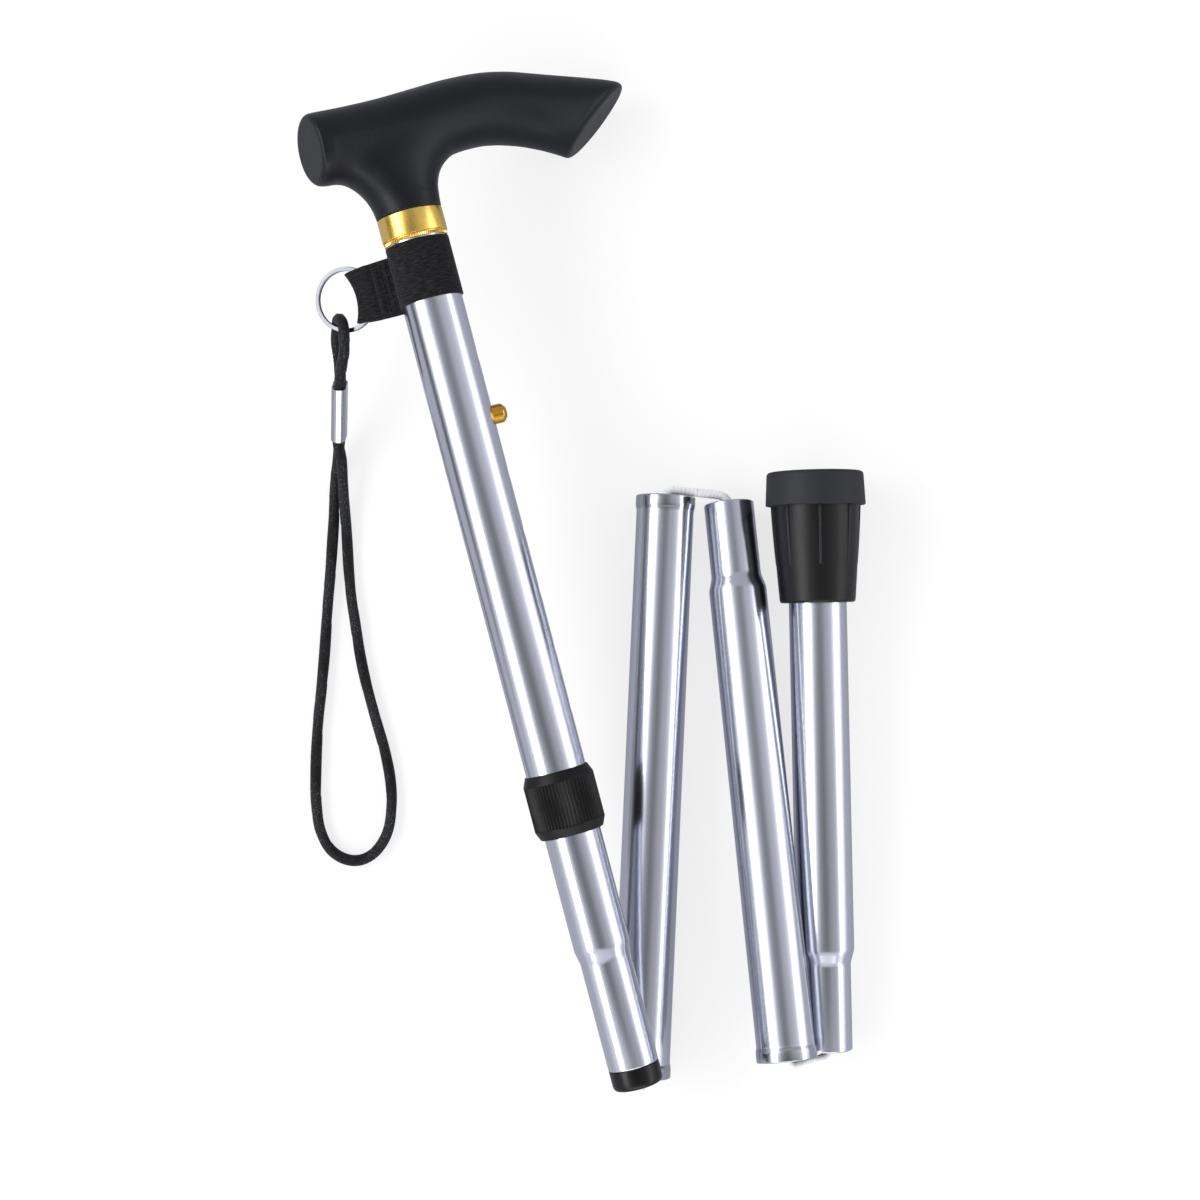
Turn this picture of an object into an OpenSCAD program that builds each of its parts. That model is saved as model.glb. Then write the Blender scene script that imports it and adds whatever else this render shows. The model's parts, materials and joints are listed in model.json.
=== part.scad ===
// Folding cane, half folded and lying on a table, in millimetres.
// +Z is up from the table, +Y runs up the cane from the lower folds to the handle.

/* [Lower tubes] */
// Outer diameter of the lower tubes
tube_d = 19.6; // [18:0.1:23]
// Wall of the lower tubes
tube_wall = 1.2; // [0.9:0.1:1.6]
// Radial clearance of a spigot in its socket
socket_clear = 0.1; // [0.05:0.05:0.3]
// Length of the second tube, a socket at each end
second_len = 197.3; // [160:0.1:240]
// Length of the third tube with its spigot
third_len = 189; // [160:1:220]
// Length of the fourth tube from its spigot's end to the ground
fourth_len = 196; // [160:1:240]
// Length of the handle section's spigot, without its plug
first_spigot = 36.5; // [20:0.1:50]
// Length of the third tube's spigot
third_spigot = 25.5; // [15:0.5:40]
// Length of the fourth tube's spigot
fourth_spigot = 29.5; // [15:0.5:40]
// Length of the step between a spigot and its tube
step_len = 4.3; // [2:0.1:8]
// Length of a socket's polished lip
lip_len = 5; // [3:0.5:9]
// Flare of a socket's lip on the radius
lip_flare = 0.4; // [0:0.1:0.6]

/* [Upper tube and height setting] */
// Diameter of the inner tube, which slides in the upper one
inner_d = 18.9; // [17.5:0.1:19.4]
// Wall of the upper tube
upper_wall = 0.6; // [0.5:0.05:1]
// Radial clearance of the inner tube in the upper tube
slide_clear = 0.05; // [0.05:0.01:0.1]
// Upper tube shown between the lock nut and the gold collar
upper_show = 180.7; // [172:0.1:260]
// Inner tube shown between its step and the lock nut
inner_show = 38.4; // [20:0.1:60]
// Inner tube above its button
inner_top = 20; // [16:0.5:21]
// Distance between two height holes
hole_pitch = 20; // [15:1:20]
// Number of height holes
hole_count = 7; // [4:1:7]
// Height holes above the one in use
holes_above = 1; // [0:1:1]
// Distance from the gold collar to the button
button_drop = 61.7; // [60:0.1:66]
// Angle of the row of holes behind the tube's right side
button_turn = 12; // [0:1:40]
// Diameter of the button
button_d = 6.6; // [5:0.1:7.5]
// Button standing out of the upper tube
button_out = 4.6; // [2:0.1:5]
// Radial clearance of the button in its holes
button_clear = 0.1; // [0.05:0.05:0.3]

/* [Lock nut] */
// Diameter of the lock nut over its rims
nut_d = 24; // [23:0.1:28]
// Height of the lock nut
nut_h = 21.4; // [18:0.1:30]
// Height of each plain rim of the lock nut
nut_rim = 3.3; // [2:0.1:5]
// Number of grip ribs
rib_count = 60; // [30:2:72]
// Depth of the grip ribs
rib_depth = 0.5; // [0.2:0.1:0.8]
// Rims standing over the ribs on the radius
rim_out = 0.15; // [0.05:0.05:0.3]
// Height of the split collet in the nut
collet_h = 6; // [4:0.5:9]
// Width of the collet's slit
collet_slit = 2; // [1:0.5:4]

/* [Handle] */
// Length of the handle from nose to tip
handle_len = 121; // [110:1:128]
// Reach of the nose from the tube's axis
nose_reach = 28.4; // [27:0.1:31]
// Height of the handle's crown above the gold collar
handle_rise = 43.2; // [40:0.1:48]
// Thickness of the grip
handle_thick = 24.6; // [22.5:0.1:28]
// Turn of the handle about the tube as the cane lies
handle_roll = 25; // [15:1:30]
// Length of the handle's stub in the upper tube
stub_len = 26; // [20:0.5:27]
// Diameter of the cross pin under the gold collar
pin_d = 3; // [2:0.1:4]
// Diameter of the gold collar
collar_d = 22; // [21.4:0.1:24]
// Height of the gold collar
collar_h = 9.1; // [8:0.1:12]

/* [Strap and ring] */
// Height of the strap's band
strap_h = 19.9; // [16:0.1:24]
// Thickness of the strap
strap_t = 0.6; // [0.4:0.1:0.8]
// Bare tube between the gold collar and the strap
strap_gap = 0.6; // [0.4:0.1:3]
// Droop of the strap's loop below level
loop_droop = 18; // [5:1:30]
// Height of the loop at its fold
loop_end_h = 16; // [12:0.1:16.4]
// Outer diameter of the ring
ring_d = 22; // [22:0.5:26]
// Diameter of the ring's wire
ring_wire = 1.5; // [1.2:0.1:1.6]
// Distance from the tube's axis to the ring's centre
ring_reach = 29.2; // [28:0.1:30]
// Ring's centre below the middle of the strap
ring_drop = 0.8; // [0:0.1:3]

/* [Lanyard] */
// Diameter of the lanyard's cord
lanyard_d = 4; // [3:0.1:4.2]
// Ring to ferrule
bight_len = 20.5; // [18:0.5:32]
// Length of the ferrule
ferrule_len = 20; // [14:0.5:24]
// Wall of the ferrule
ferrule_wall = 0.45; // [0.3:0.05:0.8]

/* [Rubber tip] */
// Diameter of the tip's foot
foot_d = 34; // [32:0.5:40]
// Height of the tip's foot
foot_h = 11.5; // [8:0.5:16]
// Height of the whole tip
tip_h = 44.5; // [36:0.5:52]
// Diameter of the tip's body at the foot
tip_low_d = 29.5; // [28:0.5:32]
// Diameter of the tip's body at its mouth
tip_high_d = 25; // [24.5:0.1:27]
// Rubber under the tube
tip_floor = 8; // [6:0.5:12]
// Thickness of the steel washer in the tip
washer_t = 1.2; // [0.8:0.1:2]
// Number of ribs on the tip
tip_ribs = 8; // [4:1:12]
// Height of a rib over the tip's body
tip_rib_out = 1; // [0.5:0.1:1.5]
// Width of a rib
tip_rib_w = 1.4; // [0.8:0.1:2.5]

/* [Elastic cord] */
// Diameter of the elastic cord through the tubes
elastic_d = 3; // [2:0.1:3.4]
// Cord from a tube's end to the point where it bends
cord_out = 2.5; // [2.4:0.1:3]
// Length of the plug shown at the handle section's end
plug_show = 7; // [4:0.5:10]
// Length of a cord guide or plug inside its spigot
guide_len = 12; // [8:0.5:14]
// Length of an anchor plug
anchor_len = 10; // [6:0.5:14]
// Height of the upper anchor above the handle section's end
anchor_at = 140; // [100:1:180]

/* [Lay on the table] */
// Lean of the handle section from +Y towards +X
first_lean = -14.8; // [-20:0.1:-12]
// Rise of the handle section towards the handle
first_pitch = 2.85; // [2.2:0.05:4]
// Lean of the second tube
second_lean = 2.6; // [0:0.1:5]
// Heading of the third tube
third_lean = 174.5; // [172:0.1:175]
// Rise of the third tube towards its socket
third_pitch = 4.5; // [4.4:0.1:6]
// Lean of the fourth tube
fourth_lean = -1.2; // [-3:0.1:0]
// Rise of the fourth tube towards its tip
fourth_pitch = 2.65; // [2.5:0.05:3.5]
// Second bend to third bend across the cane, at the upper fold
upper_fold_across = 21.3; // [21:0.1:26]
// Drop of the third tube's end at the upper fold
upper_fold_back = 2.3; // [0:0.1:3]
// Distance across between the two bends of the lower fold
lower_fold_across = 14.7; // [14.5:0.1:20]
// Lift of the fourth tube's end at the lower fold
lower_fold_back = 1.7; // [0:0.1:3]
// Gap between two tubes that lie on each other
lay_gap = 0.4; // [0.2:0.1:1]
// First bend's place across the table
bend_x = 17.9; // [0:0.1:30]
// First bend's place behind the middle of the table
bend_back = 170.8; // [150:0.1:190]
// Heading of the lanyard as it leaves the ring
lanyard_lean = 185; // [178:0.1:188]
// Fall of the lanyard from the ring to the table
lanyard_pitch = -35; // [-36:0.5:-30]
// Reach of the wrist cord along the table
wrist_reach = 100; // [95:1:105]

/* [Hidden] */
$fn = 64;
// Overrun of every cut past the face that it opens
over = 1;
// Clearance of a piece that is pushed in and stays
push_clear = 0.05;

tube_r = tube_d / 2;
bore_r = tube_r - tube_wall;
spigot_r = bore_r - socket_clear;
spigot_bore_r = spigot_r - tube_wall;
lip_r = tube_r + lip_flare;
inner_r = inner_d / 2;
inner_bore_r = inner_r - tube_wall;
upper_bore_r = inner_r + slide_clear;
upper_r = upper_bore_r + upper_wall;
elastic_r = elastic_d / 2;
// Radial room of the elastic cord in a hole that it runs through
cord_room = 0.4;
cord_hole_r = elastic_r + cord_room;
// Gap between a cord's straight run and the bend at its end
bend_gap = 0.3;
// Chamfer on plugs, rims and the foot
chamfer = 0.8;

// Heights along the handle section, from the end of its plug
first_step_at = plug_show + first_spigot;
nut_at = first_step_at + step_len + inner_show;
nut_top = nut_at + nut_h;
upper_at = nut_at + nut_rim + collet_h;
collar_at = nut_top + upper_show;
handle_at = collar_at + collar_h;
button_at = collar_at - button_drop;
inner_end = button_at + inner_top;
strap_mid = collar_at - strap_gap - strap_h / 2;
pin_at = collar_at + collar_h / 2;
tube_end = fourth_len - tip_floor - washer_t;

// Strap, loop and ring
band_r = upper_r + push_clear + strap_t;
ring_wire_r = ring_wire / 2;
ring_r = ring_d / 2 - ring_wire_r;
ring_h = strap_mid - ring_drop;
// Gap between the loop's two layers beyond the wire
loop_room = 0.4;
loop_slot = ring_wire + loop_room;
loop_t = loop_slot + 2 * strap_t;
// Fold of the loop inside the ring, from the ring's centre
fold_inside = 2;
fold_at = ring_reach - fold_inside;
seam_at = ring_reach - ring_d / 2 - loop_room - strap_t;
// Place on the ring where the lanyard's bight holds it, from straight out
hold_turn = -62;
// Radius of the bight round the ring's wire
bight_r = 3.7;
lanyard_r = lanyard_d / 2;
// Gap from a strand in the ferrule to the middle
strand_gap = 0.1;
strand_off = lanyard_r + strand_gap;
// Place of the bight's widest point, of its length
swell_share = 0.33;
lanyard_sides = 10;
bight_steps = 8;

// Directions and places on the table
function heading(lean, pitch) = [sin(lean) * cos(pitch), cos(lean) * cos(pitch), sin(pitch)];
function level(lean) = [cos(lean), -sin(lean), 0];
first_way = heading(first_lean, first_pitch);
second_way = heading(second_lean, 0);
third_way = heading(third_lean, third_pitch);
fourth_way = heading(fourth_lean, fourth_pitch);
lanyard_way = heading(lanyard_lean, lanyard_pitch);

bend_1b = [bend_x, -bend_back, lip_r];
bend_1a = bend_1b + [0, 0, lip_r + spigot_r + lay_gap];
first_end = bend_1a + first_way * cord_out;
second_start = bend_1b + second_way * cord_out;
bend_2a = second_start + second_way * (second_len + cord_out);
third_foot = bend_2a + [upper_fold_across, -upper_fold_back, 0];
bend_2b = [third_foot[0], third_foot[1], spigot_r];
third_start = bend_2b + third_way * cord_out;
bend_3a = third_start + third_way * (third_len + cord_out);
fourth_foot = bend_3a + [lower_fold_across, lower_fold_back, 0];
bend_3b = [fourth_foot[0], fourth_foot[1], spigot_r];
fourth_start = bend_3b + fourth_way * cord_out;

first_side = level(first_lean);
first_under = cross(first_way, first_side);
loop_turn = 180 - loop_droop;
loop_out = cos(loop_turn) * first_side + sin(loop_turn) * first_under;
ring_centre = first_end + first_way * ring_h + loop_out * ring_reach;
hold_at = ring_centre + ring_r * (cos(hold_turn) * loop_out + sin(hold_turn) * first_way);
ferrule_end = hold_at + lanyard_way * (bight_len + ferrule_len);
lanyard_under = cross(lanyard_way, level(lanyard_lean));

// Grip from nose to tip, as shares: along, low and high of the rise, thickness
grip_shares = [
    [0.000, 0.379, 0.836, 0.76],
    [0.012, 0.344, 0.867, 0.87],
    [0.045, 0.323, 0.884, 0.94],
    [0.120, 0.322, 0.894, 0.97],
    [0.220, 0.338, 0.916, 0.99],
    [0.320, 0.369, 0.951, 1.00],
    [0.426, 0.414, 0.987, 1.00],
    [0.530, 0.437, 1.000, 1.00],
    [0.618, 0.396, 0.980, 1.00],
    [0.700, 0.320, 0.935, 0.98],
    [0.756, 0.269, 0.897, 0.95],
];
// Slanted end of the grip, as shares: its two corners along and up, and its thickness
end_low_share = [0.760, 0.258];
end_high_share = [0.990, 0.722];
end_thick_share = 0.95;
// Turn of the slanted end about its long axis, away from the handle's own plane
end_skew = -20;
// Bevel round the slanted end
end_bevel = 1.4;
// Neck from the gold collar up, as shares: of the rise, reach to the nose and to the tip of the length
neck_shares = [
    [0.00, 0.000, 0.000],
    [0.10, 0.006, 0.003],
    [0.19, 0.022, 0.011],
    [0.28, 0.050, 0.028],
    [0.34, 0.085, 0.052],
    [0.43, 0.100, 0.100],
    [0.52, 0.100, 0.150],
];
neck_r = collar_d / 2;
// Thickness of a slice that the handle is stretched over
slice_t = 0.2;
slice_sides = 32;

// Wrist cord from the ferrule's upper strand round to its lower one, as shares of its reach:
// across, along and lift off the table
wrist_shares = [
    [-0.847, 0.418, 0.056], [-0.843, 0.348, 0.041], [-0.84, 0.284, 0.025], [-0.836, 0.214, 0.012],
    [-0.831, 0.128, 0.004], [-0.826, 0.048, 0], [-0.817, -0.042, 0], [-0.803, -0.133, 0],
    [-0.787, -0.242, 0], [-0.763, -0.352, 0], [-0.732, -0.462, 0], [-0.701, -0.572, 0],
    [-0.679, -0.677, 0], [-0.673, -0.767, 0], [-0.684, -0.857, 0], [-0.721, -0.922, 0],
    [-0.773, -0.956, 0], [-0.83, -0.955, 0], [-0.884, -0.92, 0], [-0.919, -0.852, 0],
    [-0.932, -0.767, 0], [-0.934, -0.677, 0], [-0.932, -0.567, 0], [-0.926, -0.457, 0],
    [-0.916, -0.362, 0], [-0.907, -0.252, 0], [-0.901, -0.142, 0], [-0.895, -0.042, 0],
    [-0.887, 0.048, 0], [-0.882, 0.138, 0], [-0.878, 0.218, 0], [-0.877, 0.288, 0],
    [-0.873, 0.358, 0.002], [-0.864, 0.418, 0.012]
];
// Height of a cord's middle above the table that it lies on
cord_lie = lanyard_r + strand_gap;
wrist_points = [for (p = wrist_shares) wrist_reach * p + [0, 0, cord_lie]];

// Frames of the four sections and of what hangs on the first
module lay(start, lean, pitch) {
    translate(start) rotate([pitch - 90, 0, -lean]) children();
}
module in_first() {
    lay(first_end, first_lean, first_pitch) children();
}
module in_second() {
    lay(second_start, second_lean, 0) children();
}
module in_third() {
    lay(third_start, third_lean, third_pitch) children();
}
module in_fourth() {
    lay(fourth_start, fourth_lean, fourth_pitch) children();
}
module in_handle() {
    in_first() translate([0, 0, handle_at]) rotate([0, 0, handle_roll]) children();
}
module in_loop() {
    in_first() translate([0, 0, strap_mid]) rotate([0, 0, loop_turn]) children();
}
module in_button() {
    in_first() translate([0, 0, button_at]) rotate([0, 0, button_turn]) children();
}

// A plain ring or sleeve standing on z = 0
module sleeve(inner_r, outer_r, h) {
    difference() {
        cylinder(r = outer_r, h = h);
        translate([0, 0, -over]) cylinder(r = inner_r, h = h + 2 * over);
    }
}

// A straight stretch of cord between two heights
module cord_run(low, high) {
    translate([0, 0, low]) cylinder(d = elastic_d, h = high - low);
}

// The exposed cord between two tube ends, with a round bend at each end
module fold_cord(from, to) {
    span = to - from;
    reach = norm(span);
    lean = atan2(span[0], span[1]);
    pitch = asin(span[2] / reach);
    lay(from, lean, pitch) {
        sphere(d = elastic_d);
        cylinder(d = elastic_d, h = reach);
        translate([0, 0, reach]) sphere(d = elastic_d);
    }
}

// A round cord swept along a list of points
function unit(v) = v / norm(v);
function way(p, i) = unit(p[min(i + 1, len(p) - 1)] - p[max(i - 1, 0)]);
function squared(side, along) = unit(side - (side * along) * along);
function sides(p, side, i = 0) =
    i == len(p) ? [] : let (s = squared(side, way(p, i))) concat([s], sides(p, s, i + 1));
module swept_cord(p, r, n, side) {
    s = sides(p, side);
    rings = [
        for (i = [0:len(p) - 1], k = [0:n - 1])
            let (b = cross(way(p, i), s[i]), a = 360 * k / n)
            p[i] + r * (cos(a) * s[i] + sin(a) * b)
    ];
    last = n * (len(p) - 1);
    walls = [
        for (i = [0:len(p) - 2], k = [0:n - 1], half = [0, 1])
            let (q = (k + 1) % n, low = n * i, high = n * (i + 1))
            half == 0 ? [low + k, high + q, low + q] : [low + k, high + k, high + q]
    ];
    caps = [
        for (k = [1:n - 2], end = [0, 1])
            end == 0 ? [0, k, k + 1] : [last, last + k + 1, last + k]
    ];
    polyhedron(rings, concat(walls, caps), convexity = 6);
}

// Handle
module grip_slice(row) {
    low = row[1] * handle_rise;
    high = row[2] * handle_rise;
    translate([row[0] * handle_len - nose_reach, 0, (low + high) / 2])
        rotate([0, 90, 0])
            scale([(high - low) / 2, row[3] * handle_thick / 2, slice_t])
                cylinder(r = 1, h = 1, center = true, $fn = slice_sides);
}
module grip_end(out) {
    low = [end_low_share[0] * handle_len - nose_reach, end_low_share[1] * handle_rise];
    high = [end_high_share[0] * handle_len - nose_reach, end_high_share[1] * handle_rise];
    span = high - low;
    middle = (low + high) / 2;
    translate([middle[0], 0, middle[1]])
        rotate([0, -atan2(span[1], span[0]), 0])
            rotate([end_skew, 0, 0]) translate([0, 0, -out])
                scale([norm(span) / 2 - out, end_thick_share * handle_thick / 2 - out, slice_t])
                    cylinder(r = 1, h = 1, center = true, $fn = slice_sides);
}
module neck_slice(row) {
    to_nose = neck_r + row[1] * handle_len;
    to_tip = neck_r + row[2] * handle_len;
    translate([(to_tip - to_nose) / 2, 0, row[0] * handle_rise + slice_t / 2])
        scale([(to_nose + to_tip) / 2, neck_r, slice_t])
            cylinder(r = 1, h = 1, center = true, $fn = slice_sides);
}
module handle_grip() {
    stub_r = upper_bore_r - push_clear;
    color("#1c1d20") in_handle() union() {
        for (i = [0:len(grip_shares) - 2])
            hull() {
                grip_slice(grip_shares[i]);
                grip_slice(grip_shares[i + 1]);
            }
        hull() {
            grip_slice(grip_shares[len(grip_shares) - 1]);
            grip_end(0);
        }
        hull() {
            grip_end(0);
            grip_end(end_bevel);
        }
        for (i = [0:len(neck_shares) - 2])
            hull() {
                neck_slice(neck_shares[i]);
                neck_slice(neck_shares[i + 1]);
            }
        difference() {
            translate([0, 0, -stub_len]) cylinder(r = stub_r, h = stub_len + handle_rise / 2);
            translate([0, 0, pin_at - handle_at]) rotate([90, 0, 0])
                cylinder(d = pin_d + 2 * push_clear, h = 2 * upper_r, center = true);
        }
    }
}
module handle_pin() {
    color("#b9bcc0") in_handle() translate([0, 0, pin_at - handle_at]) rotate([90, 0, 0])
        cylinder(d = pin_d, h = 2 * upper_bore_r + upper_wall, center = true);
}
module gold_collar() {
    color("#c9a24a") in_first() translate([0, 0, collar_at])
        sleeve(upper_r + push_clear, collar_d / 2, collar_h);
}

// Upper tube with its row of height holes
module upper_tube() {
    first_hole = button_at + holes_above * hole_pitch;
    color("#b4b9c0") in_first() difference() {
        translate([0, 0, upper_at]) sleeve(upper_bore_r, upper_r, handle_at - upper_at);
        rotate([0, 0, button_turn])
            for (i = [0:hole_count - 1])
                translate([0, 0, first_hole - i * hole_pitch]) rotate([0, 90, 0])
                    cylinder(d = button_d + 2 * button_clear, h = upper_r + over);
        translate([0, 0, pin_at]) rotate([90, 0, handle_roll])
            cylinder(d = pin_d + 2 * push_clear, h = 2 * (upper_r + over), center = true);
    }
}

// Strap: a band round the tube and the loop sewn to it
module strap_band() {
    color("#17181a") in_loop() translate([0, 0, -strap_h / 2])
        sleeve(upper_r + push_clear, band_r, strap_h);
}
module strap_loop() {
    fold_h = loop_end_h / 2;
    color("#17181a") in_loop() difference() {
        rotate([90, 0, 0]) {
            linear_extrude(loop_t, center = true)
                polygon([
                    [seam_at, -strap_h / 2 - ring_drop / 2], [fold_at, -ring_drop - fold_h],
                    [fold_at, -ring_drop + fold_h], [seam_at, strap_h / 2 - ring_drop / 2],
                ]);
            linear_extrude(2 * strap_t, center = true)
                polygon([
                    [0, -strap_h / 2], [seam_at + strap_t, -strap_h / 2 - ring_drop / 2],
                    [seam_at + strap_t, strap_h / 2 - ring_drop / 2], [0, strap_h / 2],
                ]);
        }
        translate([0, 0, -strap_h]) cylinder(r = band_r, h = 2 * strap_h);
        translate([seam_at + strap_t, -loop_slot / 2, -2 * strap_h])
            cube([fold_at - seam_at - 2 * strap_t, loop_slot, 4 * strap_h]);
    }
}
module key_ring() {
    color("#d5d7da") in_loop() translate([ring_reach, 0, -ring_drop]) rotate([90, 0, 0])
        rotate_extrude() translate([ring_r, 0]) circle(r = ring_wire_r);
}

// Lanyard: a bight through the ring, a crimped ferrule and the wrist loop
module lanyard_bight() {
    far = bight_len + ferrule_len;
    swell = swell_share * bight_len;
    arc = [
        for (i = [0:bight_steps])
            let (a = 180 * i / bight_steps)
            [0, -bight_r * cos(a), -bight_r * sin(a)]
    ];
    route = concat(
        [[0, -strand_off, far], [0, -strand_off, bight_len], [0, -bight_r, swell]],
        arc,
        [[0, bight_r, swell], [0, strand_off, bight_len], [0, strand_off, far]]
    );
    color("#1b1c1f") lay(hold_at, lanyard_lean, lanyard_pitch)
        swept_cord(route, lanyard_r, lanyard_sides, [1, 0, 0]);
}
module ferrule_outline(r) {
    square([2 * r, 2 * strand_off], center = true);
    for (side = [-1, 1])
        translate([0, side * strand_off]) circle(r = r);
}
module lanyard_ferrule() {
    room = lanyard_r + push_clear;
    color("#c3c6ca") lay(hold_at, lanyard_lean, lanyard_pitch) translate([0, 0, bight_len])
        linear_extrude(ferrule_len) difference() {
            ferrule_outline(room + ferrule_wall);
            ferrule_outline(room);
        }
}
module wrist_cord() {
    upper = ferrule_end - strand_off * lanyard_under;
    lower = ferrule_end + strand_off * lanyard_under;
    lead = lanyard_r * lanyard_way;
    route = concat([upper, upper + lead], wrist_points, [lower + lead, lower]);
    color("#1b1c1f") swept_cord(route, lanyard_r, lanyard_sides, [1, 0, 0]);
}

// Lock at the lower end of the upper tube
module lock_collet() {
    color("#2a2b2e") in_first() translate([0, 0, upper_at - collet_h]) difference() {
        sleeve(upper_bore_r, upper_r, collet_h);
        translate([0, -collet_slit / 2, -over]) cube([nut_d, collet_slit, collet_h + 2 * over]);
    }
}
module nut_rim_solid() {
    rotate_extrude()
        polygon([
            [0, 0], [nut_d / 2 - chamfer, 0], [nut_d / 2, chamfer],
            [nut_d / 2, nut_rim], [0, nut_rim],
        ]);
}
module lock_nut() {
    rib_r = nut_d / 2 - rim_out;
    root_r = rib_r - rib_depth;
    rib_turn = 360 / rib_count;
    color("#1a1b1d") in_first() translate([0, 0, nut_at]) difference() {
        union() {
            nut_rim_solid();
            translate([0, 0, nut_h]) mirror([0, 0, 1]) nut_rim_solid();
            translate([0, 0, nut_rim]) linear_extrude(nut_h - 2 * nut_rim)
                polygon([
                    for (i = [0:rib_count - 1], k = [0:3])
                        let (r = k < 2 ? rib_r : root_r, a = rib_turn * (i + k / 4))
                        r * [cos(a), sin(a)]
                ]);
        }
        translate([0, 0, nut_rim]) cylinder(r = upper_r + push_clear, h = nut_h);
        translate([0, 0, -over]) cylinder(r = upper_bore_r + push_clear, h = nut_h);
    }
}

// Inner tube with its button, spring, cord anchor and end plug
module inner_tube() {
    step_at = first_step_at;
    tube_from = step_at + step_len;
    color("#b4b9c0") in_first() difference() {
        rotate_extrude()
            polygon([
                [spigot_bore_r, plug_show], [spigot_r, plug_show], [spigot_r, step_at],
                [inner_r, tube_from], [inner_r, inner_end], [inner_bore_r, inner_end],
                [inner_bore_r, tube_from], [spigot_bore_r, step_at],
            ]);
        translate([0, 0, button_at]) rotate([0, 90, button_turn])
            cylinder(d = button_d + 2 * button_clear, h = inner_r + over);
    }
}
// The button's flange lies under the tube's wall, and its top is a dome with a groove
flange_share = 1.36;
flange_r = flange_share * button_d / 2;
flange_top = sqrt(inner_bore_r * inner_bore_r - flange_r * flange_r) - 2 * button_clear;
flange_t = 1.2;
groove_t = 0.6;
dome_h = 1.6;
module height_button() {
    r = button_d / 2;
    top = upper_r + button_out;
    color("#c2a04c") in_button() rotate([0, 90, 0]) rotate_extrude()
        polygon([
            [0, flange_top - flange_t], [flange_r, flange_top - flange_t], [flange_r, flange_top],
            [r, flange_top], [r, top - dome_h - groove_t], [r - groove_t, top - dome_h - groove_t],
            [r - groove_t, top - dome_h], [r, top - dome_h],
            for (a = [10:10:80]) [r * cos(a), top - dome_h + dome_h * sin(a)],
            [0, top],
        ]);
}
spring_w = 5;
spring_t = 0.5;
spring_drop = 26;
module button_spring() {
    near_r = flange_top - flange_t;
    far_r = sqrt(inner_bore_r * inner_bore_r - spring_w * spring_w / 4) - push_clear;
    rise = flange_r;
    middle = (near_r - far_r) / 2;
    color("#9b9ea3") in_button() rotate([90, 0, 0]) linear_extrude(spring_w, center = true)
        polygon([
            [near_r, rise], [near_r, -rise], [middle, -spring_drop], [-far_r, rise],
            [spring_t - far_r, rise], [middle, 3 * spring_t - spring_drop],
            [near_r - spring_t, -rise], [near_r - spring_t, rise],
        ]);
}
module anchor_plug(at, in_r) {
    translate([0, 0, at]) sleeve(cord_hole_r, in_r - push_clear, anchor_len);
}
knot_d = 6.4;
module upper_anchor() {
    color("#e2e2de") in_first() anchor_plug(anchor_at, inner_bore_r);
}
module end_plug() {
    color("#141517") in_first() rotate_extrude()
        polygon([
            [cord_hole_r, 0], [spigot_r - chamfer, 0], [spigot_r, chamfer], [spigot_r, plug_show],
            [spigot_bore_r - push_clear, plug_show], [spigot_bore_r - push_clear, plug_show + guide_len],
            [cord_hole_r, plug_show + guide_len],
        ]);
}
cord_end = elastic_r + bend_gap - cord_out;
module first_cord_run() {
    color("#e6e6e2") in_first() {
        cord_run(cord_end, anchor_at + anchor_len + knot_d / 2);
        translate([0, 0, anchor_at + anchor_len + knot_d / 2]) sphere(d = knot_d);
    }
}
module first_fold_cord() {
    color("#e6e6e2") fold_cord(bend_1a, bend_1b);
}

// Second tube, with a flared socket at each end
lip_step_share = 0.3;
module second_tube() {
    slope = lip_len * (1 - lip_step_share);
    color("#b4b9c0") in_second() rotate_extrude()
        polygon([
            [bore_r, 0], [lip_r, 0], [lip_r, slope], [tube_r, lip_len],
            [tube_r, second_len - lip_len], [lip_r, second_len - slope],
            [lip_r, second_len], [bore_r, second_len],
        ]);
}
module second_cord_run() {
    color("#e6e6e2") in_second() cord_run(cord_end, second_len - cord_end);
}
module second_fold_cord() {
    color("#e6e6e2") fold_cord(bend_2a, bend_2b);
}

// Third tube, a spigot at the upper fold and a socket at the lower one
module third_tube() {
    slope = lip_len * (1 - lip_step_share);
    tube_from = third_spigot + step_len;
    color("#b4b9c0") in_third() rotate_extrude()
        polygon([
            [spigot_bore_r, 0], [spigot_r, 0], [spigot_r, third_spigot], [tube_r, tube_from],
            [tube_r, third_len - lip_len], [lip_r, third_len - slope], [lip_r, third_len],
            [bore_r, third_len], [bore_r, tube_from], [spigot_bore_r, third_spigot],
        ]);
}
module spigot_guide() {
    translate([0, 0, chamfer]) sleeve(cord_hole_r, spigot_bore_r - push_clear, guide_len);
}
module third_guide() {
    color("#2a2b2e") in_third() spigot_guide();
}
module third_cord_run() {
    color("#e6e6e2") in_third() cord_run(cord_end, third_len - cord_end);
}
module third_fold_cord() {
    color("#e6e6e2") fold_cord(bend_3a, bend_3b);
}

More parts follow.
